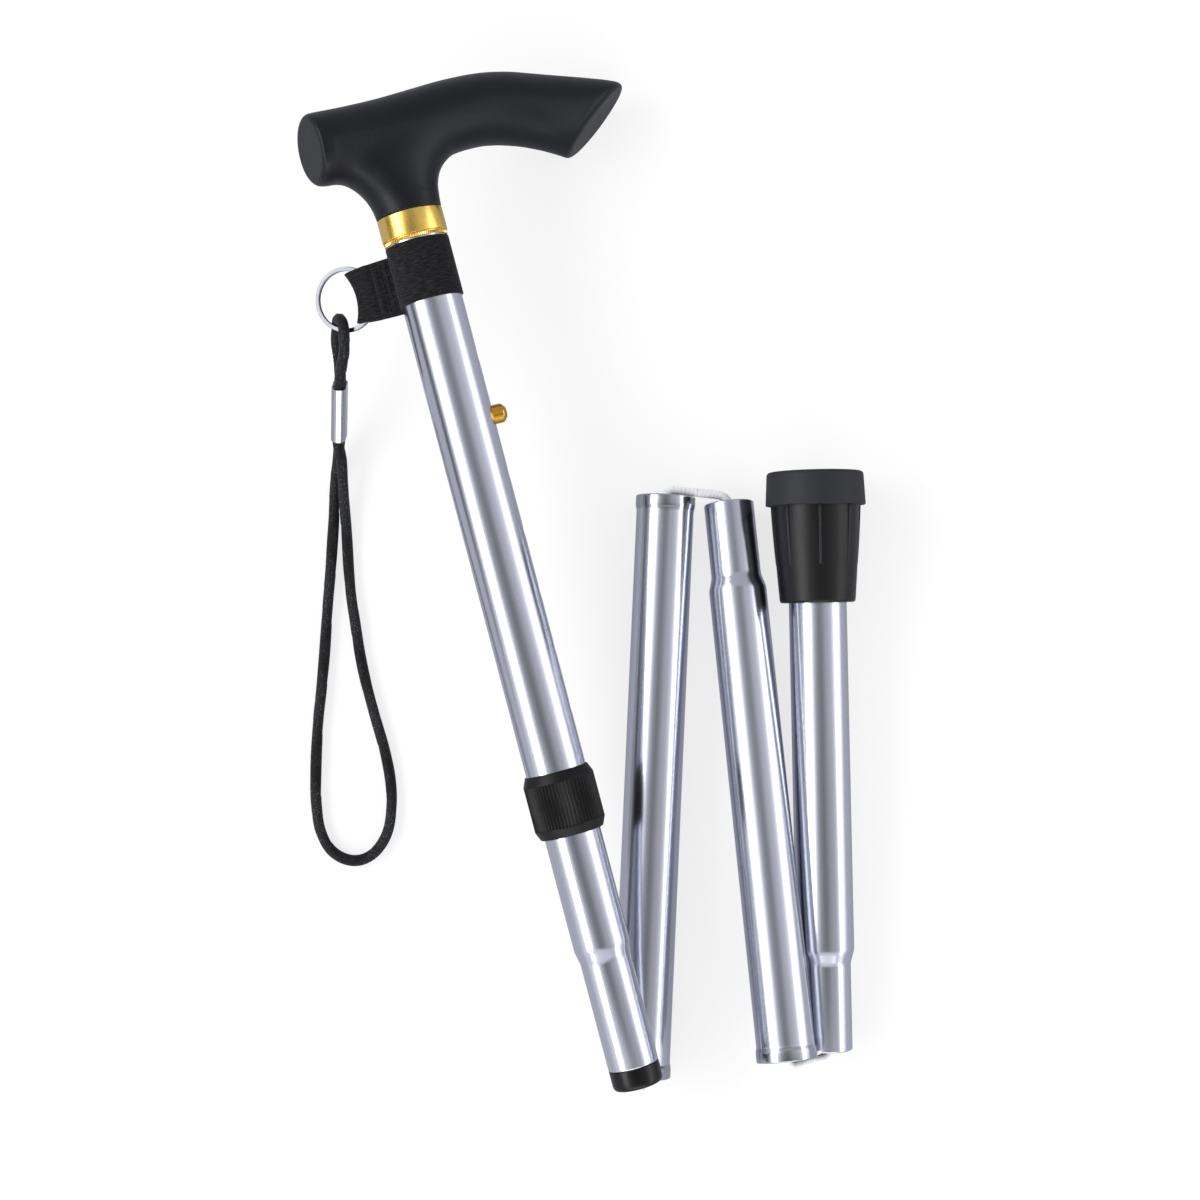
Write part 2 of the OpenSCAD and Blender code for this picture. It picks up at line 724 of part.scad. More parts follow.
// Fourth tube with the rubber tip
module fourth_tube() {
    tube_from = fourth_spigot + step_len;
    color("#b4b9c0") in_fourth() rotate_extrude()
        polygon([
            [spigot_bore_r, 0], [spigot_r, 0], [spigot_r, fourth_spigot], [tube_r, tube_from],
            [tube_r, tube_end], [bore_r, tube_end], [bore_r, tube_from],
            [spigot_bore_r, fourth_spigot],
        ]);
}
module fourth_guide() {
    color("#2a2b2e") in_fourth() spigot_guide();
}
lower_anchor_at = tube_end - anchor_len - knot_d - over;
module fourth_cord_run() {
    knot_at = lower_anchor_at + anchor_len + knot_d / 2;
    color("#e6e6e2") in_fourth() {
        cord_run(cord_end, knot_at);
        translate([0, 0, knot_at]) sphere(d = knot_d);
    }
}
module lower_anchor() {
    color("#e2e2de") in_fourth() anchor_plug(lower_anchor_at, bore_r);
}
module tip_washer() {
    color("#a9acb0") in_fourth() translate([0, 0, tube_end]) cylinder(r = tube_r, h = washer_t);
}
// Ribs reach this share of the way from the foot to the mouth
rib_reach_share = 0.66;
module rubber_tip() {
    mouth = fourth_len - tip_h;
    foot = fourth_len - foot_h;
    low_r = tip_low_d / 2;
    high_r = tip_high_d / 2;
    rib_from = foot - rib_reach_share * (foot - mouth);
    rib_r = low_r - rib_reach_share * (low_r - high_r);
    color("#2b2c2e") in_fourth() difference() {
        union() {
            rotate_extrude()
                polygon([
                    [0, mouth], [high_r, mouth], [low_r, foot], [foot_d / 2, foot],
                    [foot_d / 2, fourth_len - chamfer], [foot_d / 2 - chamfer, fourth_len],
                    [0, fourth_len],
                ]);
            for (i = [0:tip_ribs - 1])
                rotate([90, 0, 360 * i / tip_ribs])
                    linear_extrude(tip_rib_w, center = true)
                        polygon([
                            [0, rib_from], [rib_r, rib_from], [low_r + tip_rib_out, foot - chamfer],
                            [low_r + tip_rib_out, foot + chamfer], [0, foot + chamfer],
                        ]);
        }
        translate([0, 0, mouth - over])
            cylinder(r = tube_r + push_clear, h = tube_end + washer_t - mouth + over);
    }
}

handle_grip();
handle_pin();
gold_collar();
upper_tube();
strap_band();
strap_loop();
key_ring();
lanyard_bight();
lanyard_ferrule();
wrist_cord();
lock_collet();
lock_nut();
inner_tube();
height_button();
button_spring();
upper_anchor();
end_plug();
first_cord_run();
first_fold_cord();
second_tube();
second_cord_run();
second_fold_cord();
third_tube();
third_guide();
third_cord_run();
third_fold_cord();
fourth_tube();
fourth_guide();
fourth_cord_run();
lower_anchor();
tip_washer();
rubber_tip();
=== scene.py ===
# %% [markdown]
# # A folding cane, half folded on a white table
#
# The cane is four metal tubes on one elastic cord. It was put down with its three
# joints open, so the tubes lie in a zigzag. The handle, the height button, the lock
# nut, the strap, the ring and the wrist cord sit on the first tube, and a rubber tip
# closes the last one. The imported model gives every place, so each piece below is
# made along its own tube and then set down where that tube lies.

# %% Load the model and keep its box
import json
import math

import bmesh
import bpy
from mathutils import Matrix, Vector


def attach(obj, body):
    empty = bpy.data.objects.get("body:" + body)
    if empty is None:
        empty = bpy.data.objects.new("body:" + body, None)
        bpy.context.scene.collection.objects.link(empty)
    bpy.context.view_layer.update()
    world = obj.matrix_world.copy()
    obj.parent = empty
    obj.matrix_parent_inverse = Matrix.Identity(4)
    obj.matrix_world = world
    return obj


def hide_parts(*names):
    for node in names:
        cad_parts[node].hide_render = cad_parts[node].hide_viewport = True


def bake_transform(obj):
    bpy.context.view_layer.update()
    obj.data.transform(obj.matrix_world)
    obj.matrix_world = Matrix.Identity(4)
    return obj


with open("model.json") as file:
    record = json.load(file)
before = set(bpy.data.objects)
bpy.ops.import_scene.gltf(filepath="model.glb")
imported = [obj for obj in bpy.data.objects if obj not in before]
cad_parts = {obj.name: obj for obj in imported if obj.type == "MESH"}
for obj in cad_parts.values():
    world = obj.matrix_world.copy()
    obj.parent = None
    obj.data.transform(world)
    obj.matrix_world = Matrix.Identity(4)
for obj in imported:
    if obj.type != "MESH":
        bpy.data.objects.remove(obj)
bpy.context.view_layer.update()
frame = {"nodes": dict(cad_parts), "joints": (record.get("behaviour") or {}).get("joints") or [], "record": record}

MM = 0.001
scene = bpy.context.scene
scene.view_settings.view_transform = "Standard"

# %% [markdown]
# ## Camera
#
# The photograph looks almost straight down from about 0.8 m. The rims of the tubes
# give the tilt, and the way that the tubes narrow gives the distance. A camera can be
# turned by hand or aimed: aiming it at a point keeps the two numbers readable.

# %% Camera above the table
VIEW_FROM = Vector((0.0044, -0.05125, 0.8002))
VIEW_AIM = Vector((0.0044, -0.0068, 0.010))
VIEW_ANGLE = 29.1
camera = bpy.data.objects.new("camera", bpy.data.cameras.new("camera"))
camera.location = VIEW_FROM
camera.rotation_euler = (VIEW_AIM - VIEW_FROM).to_track_quat("-Z", "Y").to_euler()
camera.data.angle = math.radians(VIEW_ANGLE)
camera.data.clip_start = 0.01
scene.collection.objects.link(camera)
scene.camera = camera
print("camera lens:", round(camera.data.lens, 1), "mm")

# %% [markdown]
# ## Where the tubes lie
#
# Each joint in the record has a place and an axis. The bends of the cord are hinge
# places, so the line from one bend to the next is a tube's axis. A section's matrix
# has its z axis along the tube, so every profile can be drawn as radius and height.

# %% One matrix for each section of the cane
joint = {j["name"]: j for j in frame["joints"]}
mount = {m["name"]: m for m in frame["record"]["mounts"]}
UP = Vector((0, 0, 1))
CORD_OUT = 2.5 * MM
FOURTH_LEN = 196 * MM


def place(name):
    return Vector(joint[name]["pos_m"])


def section(start, along):
    side = along.cross(UP).normalized()
    turned = Matrix((side, along.cross(side), along)).transposed().to_4x4()
    turned.translation = start
    return turned


def from_bend(name, along):
    return section(place(name) + along * CORD_OUT, along)


first_way = -Vector(joint["height_slide"]["axis"]).normalized()
second_way = (place("second_fold") - place("first_fold_far")).normalized()
third_way = (place("third_fold") - place("second_fold_far")).normalized()
fourth_way = Vector(mount["ground_face"]["axis"]).normalized()
first = from_bend("first_fold", first_way)
second = from_bend("first_fold_far", second_way)
third = from_bend("second_fold_far", third_way)
fourth = section(Vector(mount["ground_face"]["pos_m"]) - fourth_way * FOURTH_LEN, fourth_way)
print("handle section starts at", [round(c / MM, 1) for c in first.translation], "mm")

# %% [markdown]
# ## Small tools
#
# Most pieces here were turned on a lathe, drawn through a die or moulded round an
# axis, so one helper spins a profile. Real edges are never sharp, so another helper
# rounds the corners of a profile first. The spun surface gets a UV map in
# millimetres, round and along, which lets a finish follow the tube's own direction.

# %% Colours, nodes and objects
def linear(code):
    parts = [int(code[i:i + 2], 16) / 255 for i in (1, 3, 5)]
    return [c / 12.92 if c <= 0.04045 else ((c + 0.055) / 1.055) ** 2.4 for c in parts] + [1.0]


def node(tree, kind, links=None, values=None, **settings):
    made = tree.nodes.new(kind)
    for key, value in settings.items():
        setattr(made, key, value)
    for key, value in (values or {}).items():
        made.inputs[key].default_value = value
    for key, source in (links or {}).items():
        tree.links.new(source, made.inputs[key])
    return made


def new_finish(name, **sockets):
    made = bpy.data.materials.new(name)
    made.use_nodes = True
    shader = made.node_tree.nodes["Principled BSDF"]
    for key, value in sockets.items():
        shader.inputs[key.replace("_", " ")].default_value = value
    return made, made.node_tree, shader


def shown(name, data):
    made = bpy.data.objects.new(name, data)
    scene.collection.objects.link(made)
    return made


def piece(name, mesh, body, slot, *finishes, angle=35, replaces=()):
    for one in finishes:
        mesh.materials.append(one)
    mesh.shade_smooth()
    mesh.set_sharp_from_angle(angle=math.radians(angle))
    made = shown(name, mesh)
    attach(made, body)
    if replaces:
        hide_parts(*replaces)
    print(name, len(mesh.polygons), "faces on", body)
    return made


# %% Rounded profiles and spinning
EDGE_PART = 2.05
TINY = 1e-7


def rounded(corners, steps=5):
    out = []
    for i, (r, z, radius) in enumerate(corners):
        here = Vector((r, z))
        before = Vector(corners[i - 1][:2]) - here
        after = Vector(corners[(i + 1) % len(corners)][:2]) - here
        reach = min(radius, before.length / EDGE_PART, after.length / EDGE_PART)
        if reach <= 0:
            out.append(here)
            continue
        start = here + before.normalized() * reach
        end = here + after.normalized() * reach
        for k in range(steps + 1):
            t = k / steps
            out.append(start * (1 - t) ** 2 + here * 2 * t * (1 - t) + end * t ** 2)
    return out


def spun(profile, steps=96, closed=True):
    bm = bmesh.new()
    line = [bm.verts.new((p[0] * MM, 0, p[1] * MM)) for p in profile]
    ends = line[1:] + (line[:1] if closed else [])
    edges = [bm.edges.new(pair) for pair in zip(line, ends)]
    bmesh.ops.spin(bm, geom=line + edges, cent=(0, 0, 0), axis=(0, 0, 1),
                   angle=2 * math.pi, steps=steps, use_merge=True)
    bmesh.ops.remove_doubles(bm, verts=bm.verts, dist=TINY)
    bmesh.ops.recalc_face_normals(bm, faces=bm.faces)
    return bm


def wrap_uv(bm, radius):
    uv = bm.loops.layers.uv.new("UVMap")
    for face in bm.faces:
        middle = face.calc_center_median()
        facing = math.atan2(middle.y, middle.x)
        for corner in face.loops:
            co = corner.vert.co
            turn = math.atan2(co.y, co.x) - facing
            turn = facing + (turn + math.pi) % (2 * math.pi) - math.pi
            corner[uv].uv = (turn * radius, co.z / MM)


def meshed(bm, name, at=Matrix()):
    mesh = bpy.data.meshes.new(name)
    bm.to_mesh(mesh)
    bm.free()
    mesh.transform(at)
    return mesh


def applied(mesh, kind, **settings):
    blank = shown("blank", mesh)
    step = blank.modifiers.new("step", kind)
    for key, value in settings.items():
        setattr(step, key, value)
    graph = bpy.context.evaluated_depsgraph_get()
    done = bpy.data.meshes.new_from_object(blank.evaluated_get(graph))
    bpy.data.objects.remove(blank)
    return done


def set_down(name, bm, at, *rest, **how):
    return piece(name, meshed(bm, name, at), *rest, **how)


def up(height):
    return first @ Matrix.Translation((0, 0, height * MM))


# %% [markdown]
# ## Braided cord
#
# The wrist cord is a round braid of black polyester. Its strands cross over and under
# at a slant, which shows as rows of tiny grey flecks, painted as glints on the crowns. A
# bump map alone would leave a smooth outline, so the tube's points are moved in and out by
# the braid itself, and the same height is kept on the points for the finish to read.

# %% A smooth path and a braided tube along it
DIP = 0.45


def eased(a, b, c, d, t):
    return 0.5 * (2 * b + (c - a) * t + (2 * a - 5 * b + 4 * c - d) * t ** 2
                  + (3 * b - a - 3 * c + d) * t ** 3)


def smooth_path(points, step):
    points = [Vector(p) for p in points]
    ends = [2 * points[0] - points[1]] + points + [2 * points[-1] - points[-2]]
    out = []
    for a, b, c, d in zip(ends, ends[1:], ends[2:], ends[3:]):
        count = max(1, round((c - b).length / step))
        out += [eased(a, b, c, d, k / count) for k in range(count)]
    return out + [points[-1]]


def length_of(points):
    return sum((b - a).length for a, b in zip(points, points[1:]))


def tube_mesh(name, path, radius, quarter=5):
    curve = bpy.data.curves.new(name, "CURVE")
    curve.dimensions = "3D"
    curve.bevel_depth = radius
    curve.bevel_resolution = quarter
    curve.use_fill_caps = True
    line = curve.splines.new("POLY")
    line.points.add(len(path) - 1)
    for point, co in zip(line.points, path):
        point.co = (*co, 1)
    shown = bpy.data.objects.new(name, curve)
    mesh = bpy.data.meshes.new_from_object(shown)
    bpy.data.objects.remove(shown)
    bpy.data.curves.remove(curve)
    return mesh


def braid(mesh, length, radius, strands, depth):
    slant = strands * length / (2 * math.pi * radius)
    bm = bmesh.new()
    bm.from_mesh(mesh)
    bmesh.ops.remove_doubles(bm, verts=bm.verts, dist=TINY)
    bmesh.ops.recalc_face_normals(bm, faces=bm.faces)
    bm.normal_update()
    height = bm.verts.layers.float.new("strand")
    uv = bm.loops.layers.uv.active
    for vert in bm.verts:
        around, along = vert.link_loops[0][uv].uv
        p = around * strands / 2 + along * slant
        q = around * strands / 2 - along * slant
        over = (math.floor(p) + math.floor(q)) % 2
        across, run = (p % 1, q % 1) if over else (q % 1, p % 1)
        vert[height] = math.sin(math.pi * across) * (1 - DIP + DIP * math.sin(math.pi * run))
    moves = [(v, v.normal * depth * (v[height] - 1)) for v in bm.verts]
    for vert, move in moves:
        vert.co += move
    bm.to_mesh(mesh)
    bm.free()
    return mesh


# %% [markdown]
# ### Finish of the braids
#
# Polyester braid is a soft, dull yarn with almost no mirror shine. The strand height stored
# on the points drives the colour: the crowns are painted lighter as a painted sheen, the
# hollows darker as painted shade, and a fine noise breaks the yarns into fibres and puts
# painted glints on the crowns.

# %% Braided polyester and woven elastic
def braid_finish(name, hollow_shade, crown_sheen, fleck_glint, rough, fleck_size):
    made, tree, shader = new_finish(name, Roughness=rough, Specular_IOR_Level=0.2,
                                     Sheen_Weight=0.08, Sheen_Roughness=0.5)
    strand = node(tree, "ShaderNodeAttribute", attribute_name="strand")
    where = node(tree, "ShaderNodeTexCoord")
    fibres = node(tree, "ShaderNodeTexNoise", {"Vector": where.outputs["Object"]},
                  {"Scale": 1 / fleck_size, "Detail": 3.0})
    # Painted shade and sheen: the hollows take the darker colour, the crowns the lighter one.
    strand_shading = node(tree, "ShaderNodeMix", {"Factor": strand.outputs["Fac"]},
                {"A": linear(hollow_shade), "B": linear(crown_sheen)}, data_type="RGBA")
    # Painted glints: the brightest fibres on the crowns take the light fleck colour.
    bright = node(tree, "ShaderNodeMapRange", {"Value": fibres.outputs["Fac"]},
                  {"From Min": 0.58, "From Max": 0.72})
    glint_mask = node(tree, "ShaderNodeMath", {0: bright.outputs[0], 1: strand.outputs["Fac"]},
                  operation="MULTIPLY")
    glinted = node(tree, "ShaderNodeMix", {"Factor": glint_mask.outputs[0], "A": strand_shading.outputs["Result"]},
                   {"B": linear(fleck_glint)}, data_type="RGBA")
    relief = node(tree, "ShaderNodeBump", {"Height": fibres.outputs["Fac"]},
                  {"Strength": 0.35, "Distance": 0.15 * MM})
    tree.links.new(glinted.outputs["Result"], shader.inputs["Base Color"])
    tree.links.new(relief.outputs["Normal"], shader.inputs["Normal"])
    return made


# Each braid gets a painted shade colour for its hollows, a painted sheen colour for its crowns and a painted glint
# colour for its flecks.
black_braid = braid_finish("black polyester braid", "#030304", "#191a1d", "#6c6d73", 0.75, 0.5 * MM)
white_braid = braid_finish("white elastic braid", "#e2e3e4", "#f8f8f8", "#fefefe", 0.7, 0.4 * MM)

# %% [markdown]
# ## Wrist cord
#
# One length of cord makes the whole lanyard. It goes through the ring as a tight bight,
# both strands run into a crimped ferrule, and the rest is the loop for the wrist. The
# loop lies flat on the table in the long drop shape that the photograph shows from end
# to end, so that is its length. The bight is a piece of its own on the same body.

# %% Wrist loop and bight
CORD_R = 2.0 * MM
CORD_LIE = 2.1
BIGHT_LEN, FERRULE_LEN = 20.5 * MM, 20 * MM
BIGHT_R, STRAND_OFF = 3.7 * MM, 2.1 * MM
BIGHT_TURN, TWIST_FROM, SWELL_SHARE, BIGHT_PARTS = math.radians(-27), 1.6, 0.33, 8
WRIST_STRANDS, WRIST_DEEP, WRIST_STEP = 16, 0.28 * MM, 0.6 * MM
LANYARD_PITCH = math.radians(-35)
lift_axis = Vector(joint["lanyard_lift"]["axis"]).normalized()
flat_way = UP.cross(lift_axis).normalized()
lanyard_way = flat_way * math.cos(LANYARD_PITCH) + UP * math.sin(LANYARD_PITCH)
lanyard_under = lanyard_way.cross(lift_axis)
hold_at = place("lanyard_lift")
ferrule_at = hold_at + lanyard_way * BIGHT_LEN
ferrule_end = ferrule_at + lanyard_way * FERRULE_LEN
upper_end = ferrule_end - lanyard_under * STRAND_OFF
lower_end = ferrule_end + lanyard_under * STRAND_OFF
WRIST_MM = [
    (-84.7, 41.8, 5.6), (-84.3, 34.8, 4.1), (-84.0, 28.4, 2.5), (-83.6, 21.4, 1.2), (-83.1, 12.8, 0.4),
    (-82.6, 4.8, 0), (-81.7, -4.2, 0), (-80.3, -13.3, 0), (-78.7, -24.2, 0), (-76.3, -35.2, 0),
    (-73.2, -46.2, 0), (-70.1, -57.2, 0), (-67.9, -67.7, 0), (-67.3, -76.7, 0), (-68.4, -85.7, 0),
    (-72.1, -92.2, 0), (-77.3, -95.6, 0), (-83.0, -95.5, 0), (-88.4, -92, 0), (-91.9, -85.2, 0),
    (-93.2, -76.7, 0), (-93.4, -67.7, 0), (-93.2, -56.7, 0), (-92.6, -45.7, 0), (-91.6, -36.2, 0),
    (-90.7, -25.2, 0), (-90.1, -14.2, 0), (-89.5, -4.2, 0), (-88.7, 4.8, 0), (-88.2, 13.8, 0),
    (-87.8, 21.8, 0), (-87.7, 28.8, 0), (-87.3, 35.8, 0.2), (-86.4, 41.8, 1.2),
]
lead = lanyard_way * CORD_R
wrist_route = [upper_end, upper_end + lead]
wrist_route += [Vector((x, y, lift + CORD_LIE)) * MM for x, y, lift in WRIST_MM]
wrist_route += [lower_end + lead, lower_end]
wrist_path = smooth_path(wrist_route, WRIST_STEP)
wrist_length = length_of(wrist_path)
wrist_mesh = braid(tube_mesh("wrist_cord_braid", wrist_path, CORD_R), wrist_length, CORD_R,
                   WRIST_STRANDS, WRIST_DEEP)
wrist_cord = piece("wrist_cord_braid", wrist_mesh, "lanyard", "lanyard_cord", black_braid,
                   angle=60, replaces=["wrist_cord"])

swell = SWELL_SHARE * BIGHT_LEN
far = BIGHT_LEN + FERRULE_LEN
bight_flat = [(-STRAND_OFF, far), (-STRAND_OFF, BIGHT_LEN), (-BIGHT_R, swell)]
turns = [k * math.pi / BIGHT_PARTS for k in range(BIGHT_PARTS + 1)]
bight_flat += [(-BIGHT_R * math.cos(a), -BIGHT_R * math.sin(a)) for a in turns]
bight_flat += [(BIGHT_R, swell), (STRAND_OFF, BIGHT_LEN), (STRAND_OFF, far)]
bight_side = Matrix.Rotation(BIGHT_TURN, 3, lanyard_way) @ lanyard_under
bight_route = []
for y, z in bight_flat:
    ease = min(1.0, max(0.0, TWIST_FROM * (BIGHT_LEN - z) / BIGHT_LEN))
    bight_route.append(hold_at + lanyard_under.lerp(bight_side, ease) * y + lanyard_way * z)
bight_path = smooth_path(bight_route, WRIST_STEP)
bight_mesh = braid(tube_mesh("ring_bight_braid", bight_path, CORD_R), length_of(bight_path), CORD_R,
                   WRIST_STRANDS, WRIST_DEEP)
bight = piece("ring_bight_braid", bight_mesh, "lanyard", "lanyard_cord", black_braid,
              angle=60, replaces=["lanyard_bight"])
print("wrist loop:", round(wrist_length, 3), "m of cord")

# %% [markdown]
# ## Satin anodised aluminium
#
# The tubes are drawn aluminium, etched and anodised to a satin silver. The etch leaves
# a fine even grain and drawing leaves faint lines along the tube, so the long mirror
# bands of the studio lights are soft and slightly speckled. The metal keeps its own
# index, with a middling roughness that the grain varies. The grain of the real tube is
# finer than a pixel, so it is drawn at half a millimetre.

# %% Tube finishes
GRAIN_MM, LINE_SHARE, METAL_RELIEF = 0.5, 0.45, 0.5


def grained(tree, shader, mixed, grain, dark, light, rough, swing, strength, relief_mm):
    tint = node(tree, "ShaderNodeMix", {"Factor": mixed.outputs["Result"]},
                {"A": linear(dark), "B": linear(light)}, data_type="RGBA")
    matte = node(tree, "ShaderNodeMapRange", {"Value": mixed.outputs["Result"]},
                 {"From Min": 0.3, "From Max": 0.7, "To Min": rough - swing, "To Max": rough + swing})
    relief = node(tree, "ShaderNodeBump", {"Height": grain.outputs["Fac"]},
                  {"Strength": strength, "Distance": relief_mm * MM})
    tree.links.new(tint.outputs["Result"], shader.inputs["Base Color"])
    tree.links.new(matte.outputs[0], shader.inputs["Roughness"])
    tree.links.new(relief.outputs["Normal"], shader.inputs["Normal"])


def drawn_metal(name, colour, dark, rough, swing, relief_mm, draw_lines):
    made, tree, shader = new_finish(name, Metallic=1.0)
    where = node(tree, "ShaderNodeTexCoord")
    grain = node(tree, "ShaderNodeTexNoise", {"Vector": where.outputs["UV"]},
                 {"Scale": 1 / GRAIN_MM, "Detail": 2.0})
    along = node(tree, "ShaderNodeMapping", {"Vector": where.outputs["UV"]}, {"Scale": draw_lines})
    lines = node(tree, "ShaderNodeTexNoise", {"Vector": along.outputs["Vector"]},
                 {"Scale": 1.0, "Detail": 3.0})
    both = node(tree, "ShaderNodeMix", {"A": grain.outputs["Fac"], "B": lines.outputs["Fac"]},
                {"Factor": LINE_SHARE})
    grained(tree, shader, both, grain, dark, colour, rough, swing, METAL_RELIEF, relief_mm)
    return made


satin_tube = drawn_metal("satin anodised aluminium", "#d6d9e2", "#babdca", 0.21, 0.04, 0.02, (2.5, 0.03, 1))
# The rims are polished, and their colour is darker than the tube's: painted shade that stands for the dark
# reflections in the flared lips.
polished_rim_painted_dark = drawn_metal("polished aluminium rim painted darker", "#c0c2ca", "#a5a8b1", 0.17, 0.03, 0.006, (2.5, 0.2, 1))

# %% [markdown]
# ## Tubes
#
# The inner, third and fourth tubes end in a swaged spigot, where a die squeezed the tube
# over a short shoulder. The mouths that take a spigot are flared and polished, and their
# colour is darker, painted shade for the dark reflections of the lips. A cylinder with
# boolean cuts would have hard edges, so each wall is drawn once as a closed profile, with
# the shoulder eased, and spun round the axis.

# %% Profiles of the walls, and the three lower tubes
TUBE_R, BORE_R, SPIGOT_R, SPIGOT_BORE_R = 9.8, 8.6, 8.5, 7.3
LIP_R, LIP_LEN, LIP_SLOPE, STEP = 10.2, 5.0, 3.5, 4.3
INNER_R, INNER_BORE_R = 9.45, 8.25
EASE, EDGE = 1.0, 0.3
LIP_FOOT_EASE, LIP_TOP_EASE, LIP_EDGE = 1.2, 0.9, 0.6
NO_LOW, NO_HIGH = -1e3, 1e3
ROUND_STEPS = 128


def lip(top):
    flare = [(TUBE_R, top - LIP_LEN, LIP_FOOT_EASE), (LIP_R, top - LIP_SLOPE, LIP_TOP_EASE),
             (LIP_R, top, LIP_EDGE)]
    return flare + [(BORE_R, top, EDGE)]


def spigot_tube(spigot, top_corners, start=0.0, radius=TUBE_R, bore=BORE_R):
    shoulder = [(SPIGOT_R, spigot, EASE), (radius, spigot + STEP, EASE)]
    inside = [(bore, spigot + STEP, EASE), (SPIGOT_BORE_R, spigot, EASE)]
    return [(SPIGOT_BORE_R, start, EDGE), (SPIGOT_R, start, 2 * EDGE)] + shoulder + top_corners + inside


def plain_end(top, radius=TUBE_R, bore=BORE_R):
    return [(radius, top, EDGE), (bore, top, EDGE)]


def lip_faces(bm, low, high):
    for face in bm.faces:
        z = face.calc_center_median().z / MM
        if z < low or z > high:
            face.material_index = 1


def tube(name, corners, at, body, node_name, bright=(NO_LOW, NO_HIGH), cutters=()):
    bm = spun(rounded(corners), ROUND_STEPS)
    wrap_uv(bm, TUBE_R)
    lip_faces(bm, *bright)
    mesh = meshed(bm, name)
    if cutters:
        mesh = cut(mesh, cutters)
    mesh.transform(at)
    piece(name, mesh, body, "satin_aluminium", satin_tube, polished_rim_painted_dark, replaces=[node_name])


def cut(mesh, cutters):
    bm = bmesh.new()
    for matrix, radius, depth in cutters:
        bmesh.ops.create_cone(bm, cap_ends=True, segments=32, radius1=radius * MM, radius2=radius * MM,
                              depth=depth * MM, matrix=matrix)
    drill = shown("drill", meshed(bm, "drill"))
    done = applied(mesh, "BOOLEAN", object=drill, operation="DIFFERENCE", solver="EXACT")
    bpy.data.objects.remove(drill)
    return done


SECOND_LEN, THIRD_LEN, TUBE_END = 197.3, 189.0, 186.8
THIRD_SPIGOT, FOURTH_SPIGOT = 25.5, 29.5
low_lip = [(r, SECOND_LEN - z, soft) for r, z, soft in reversed(lip(SECOND_LEN))]
tube("second_tube_drawn", low_lip + lip(SECOND_LEN), second, "second_section", "second_tube",
     (LIP_LEN, SECOND_LEN - LIP_LEN))
tube("third_tube_drawn", spigot_tube(THIRD_SPIGOT, lip(THIRD_LEN)), third, "third_section", "third_tube",
     (NO_LOW, THIRD_LEN - LIP_LEN))
tube("fourth_tube_drawn", spigot_tube(FOURTH_SPIGOT, plain_end(TUBE_END)), fourth, "fourth_section",
     "fourth_tube")

# %% [markdown]
# The inner tube slides in the upper one. A row of holes takes the button, and one hole
# in the inner tube lets it out. The holes are drilled with a boolean, because only the
# wall on one side has them.

# %% Inner and upper tube with the drilled holes
BUTTON_AT, BUTTON_TURN, HOLE_R = 226.6, math.radians(12), 3.4
HOLE_PITCH, HOLES, HOLES_ABOVE = 20.0, 7, 1
DRILL_AT, DRILL_LEN, THIN_EDGE = 8.0, 12.0, 0.15
FIRST_STEP, INNER_TOP, PLUG_SHOW = 43.5, 246.6, 7.0
UPPER_AT, HANDLE_AT, UPPER_R, UPPER_BORE_R = 95.5, 297.4, 10.1, 9.5


def hole(height):
    return (Matrix.Rotation(BUTTON_TURN, 4, "Z") @ Matrix.Translation((DRILL_AT * MM, 0, height * MM))
            @ Matrix.Rotation(math.pi / 2, 4, "Y"), HOLE_R, DRILL_LEN)


inner_end = plain_end(INNER_TOP, INNER_R, INNER_BORE_R)
inner_wall = spigot_tube(FIRST_STEP, inner_end, PLUG_SHOW, INNER_R, INNER_BORE_R)
tube("inner_tube_drawn", inner_wall, first, "inner_section", "inner_tube", cutters=[hole(BUTTON_AT)])
upper_wall = [(UPPER_BORE_R, UPPER_AT, THIN_EDGE), (UPPER_R, UPPER_AT, EDGE),
              (UPPER_R, HANDLE_AT, EDGE), (UPPER_BORE_R, HANDLE_AT, THIN_EDGE)]
row = [hole(BUTTON_AT + (HOLES_ABOVE - i) * HOLE_PITCH) for i in range(HOLES)]
tube("upper_tube_drawn", upper_wall, first, "handle_section", "upper_tube", cutters=row)

# %% [markdown]
# ## Moulded black plastics
#
# The handle is moulded ABS with a spark-eroded texture: near black, satin, with a fine
# grain that scatters the light into a broad soft shine. The lock nut is a similar
# plastic. The end plug is glossier polyethylene. The grain is drawn at about half a
# millimetre so that it shows.

# %% Moulded plastic and rubber finishes
CLOUD_SCALE, CLOUD_SHARE, PLASTIC_RELIEF = 60.0, 0.4, 0.6


def moulded(name, colour, light, rough, swing, grain_mm, relief_mm, **sockets):
    made, tree, shader = new_finish(name, **sockets)
    where = node(tree, "ShaderNodeTexCoord")
    grain = node(tree, "ShaderNodeTexNoise", {"Vector": where.outputs["Object"]},
                 {"Scale": 1 / (grain_mm * MM), "Detail": 3.0, "Roughness": 0.6})
    cloud = node(tree, "ShaderNodeTexNoise", {"Vector": where.outputs["Object"]},
                 {"Scale": CLOUD_SCALE, "Detail": 2.0})
    both = node(tree, "ShaderNodeMix", {"A": grain.outputs["Fac"], "B": cloud.outputs["Fac"]},
                {"Factor": CLOUD_SHARE})
    grained(tree, shader, both, grain, colour, light, rough, swing, PLASTIC_RELIEF, relief_mm)
    return made


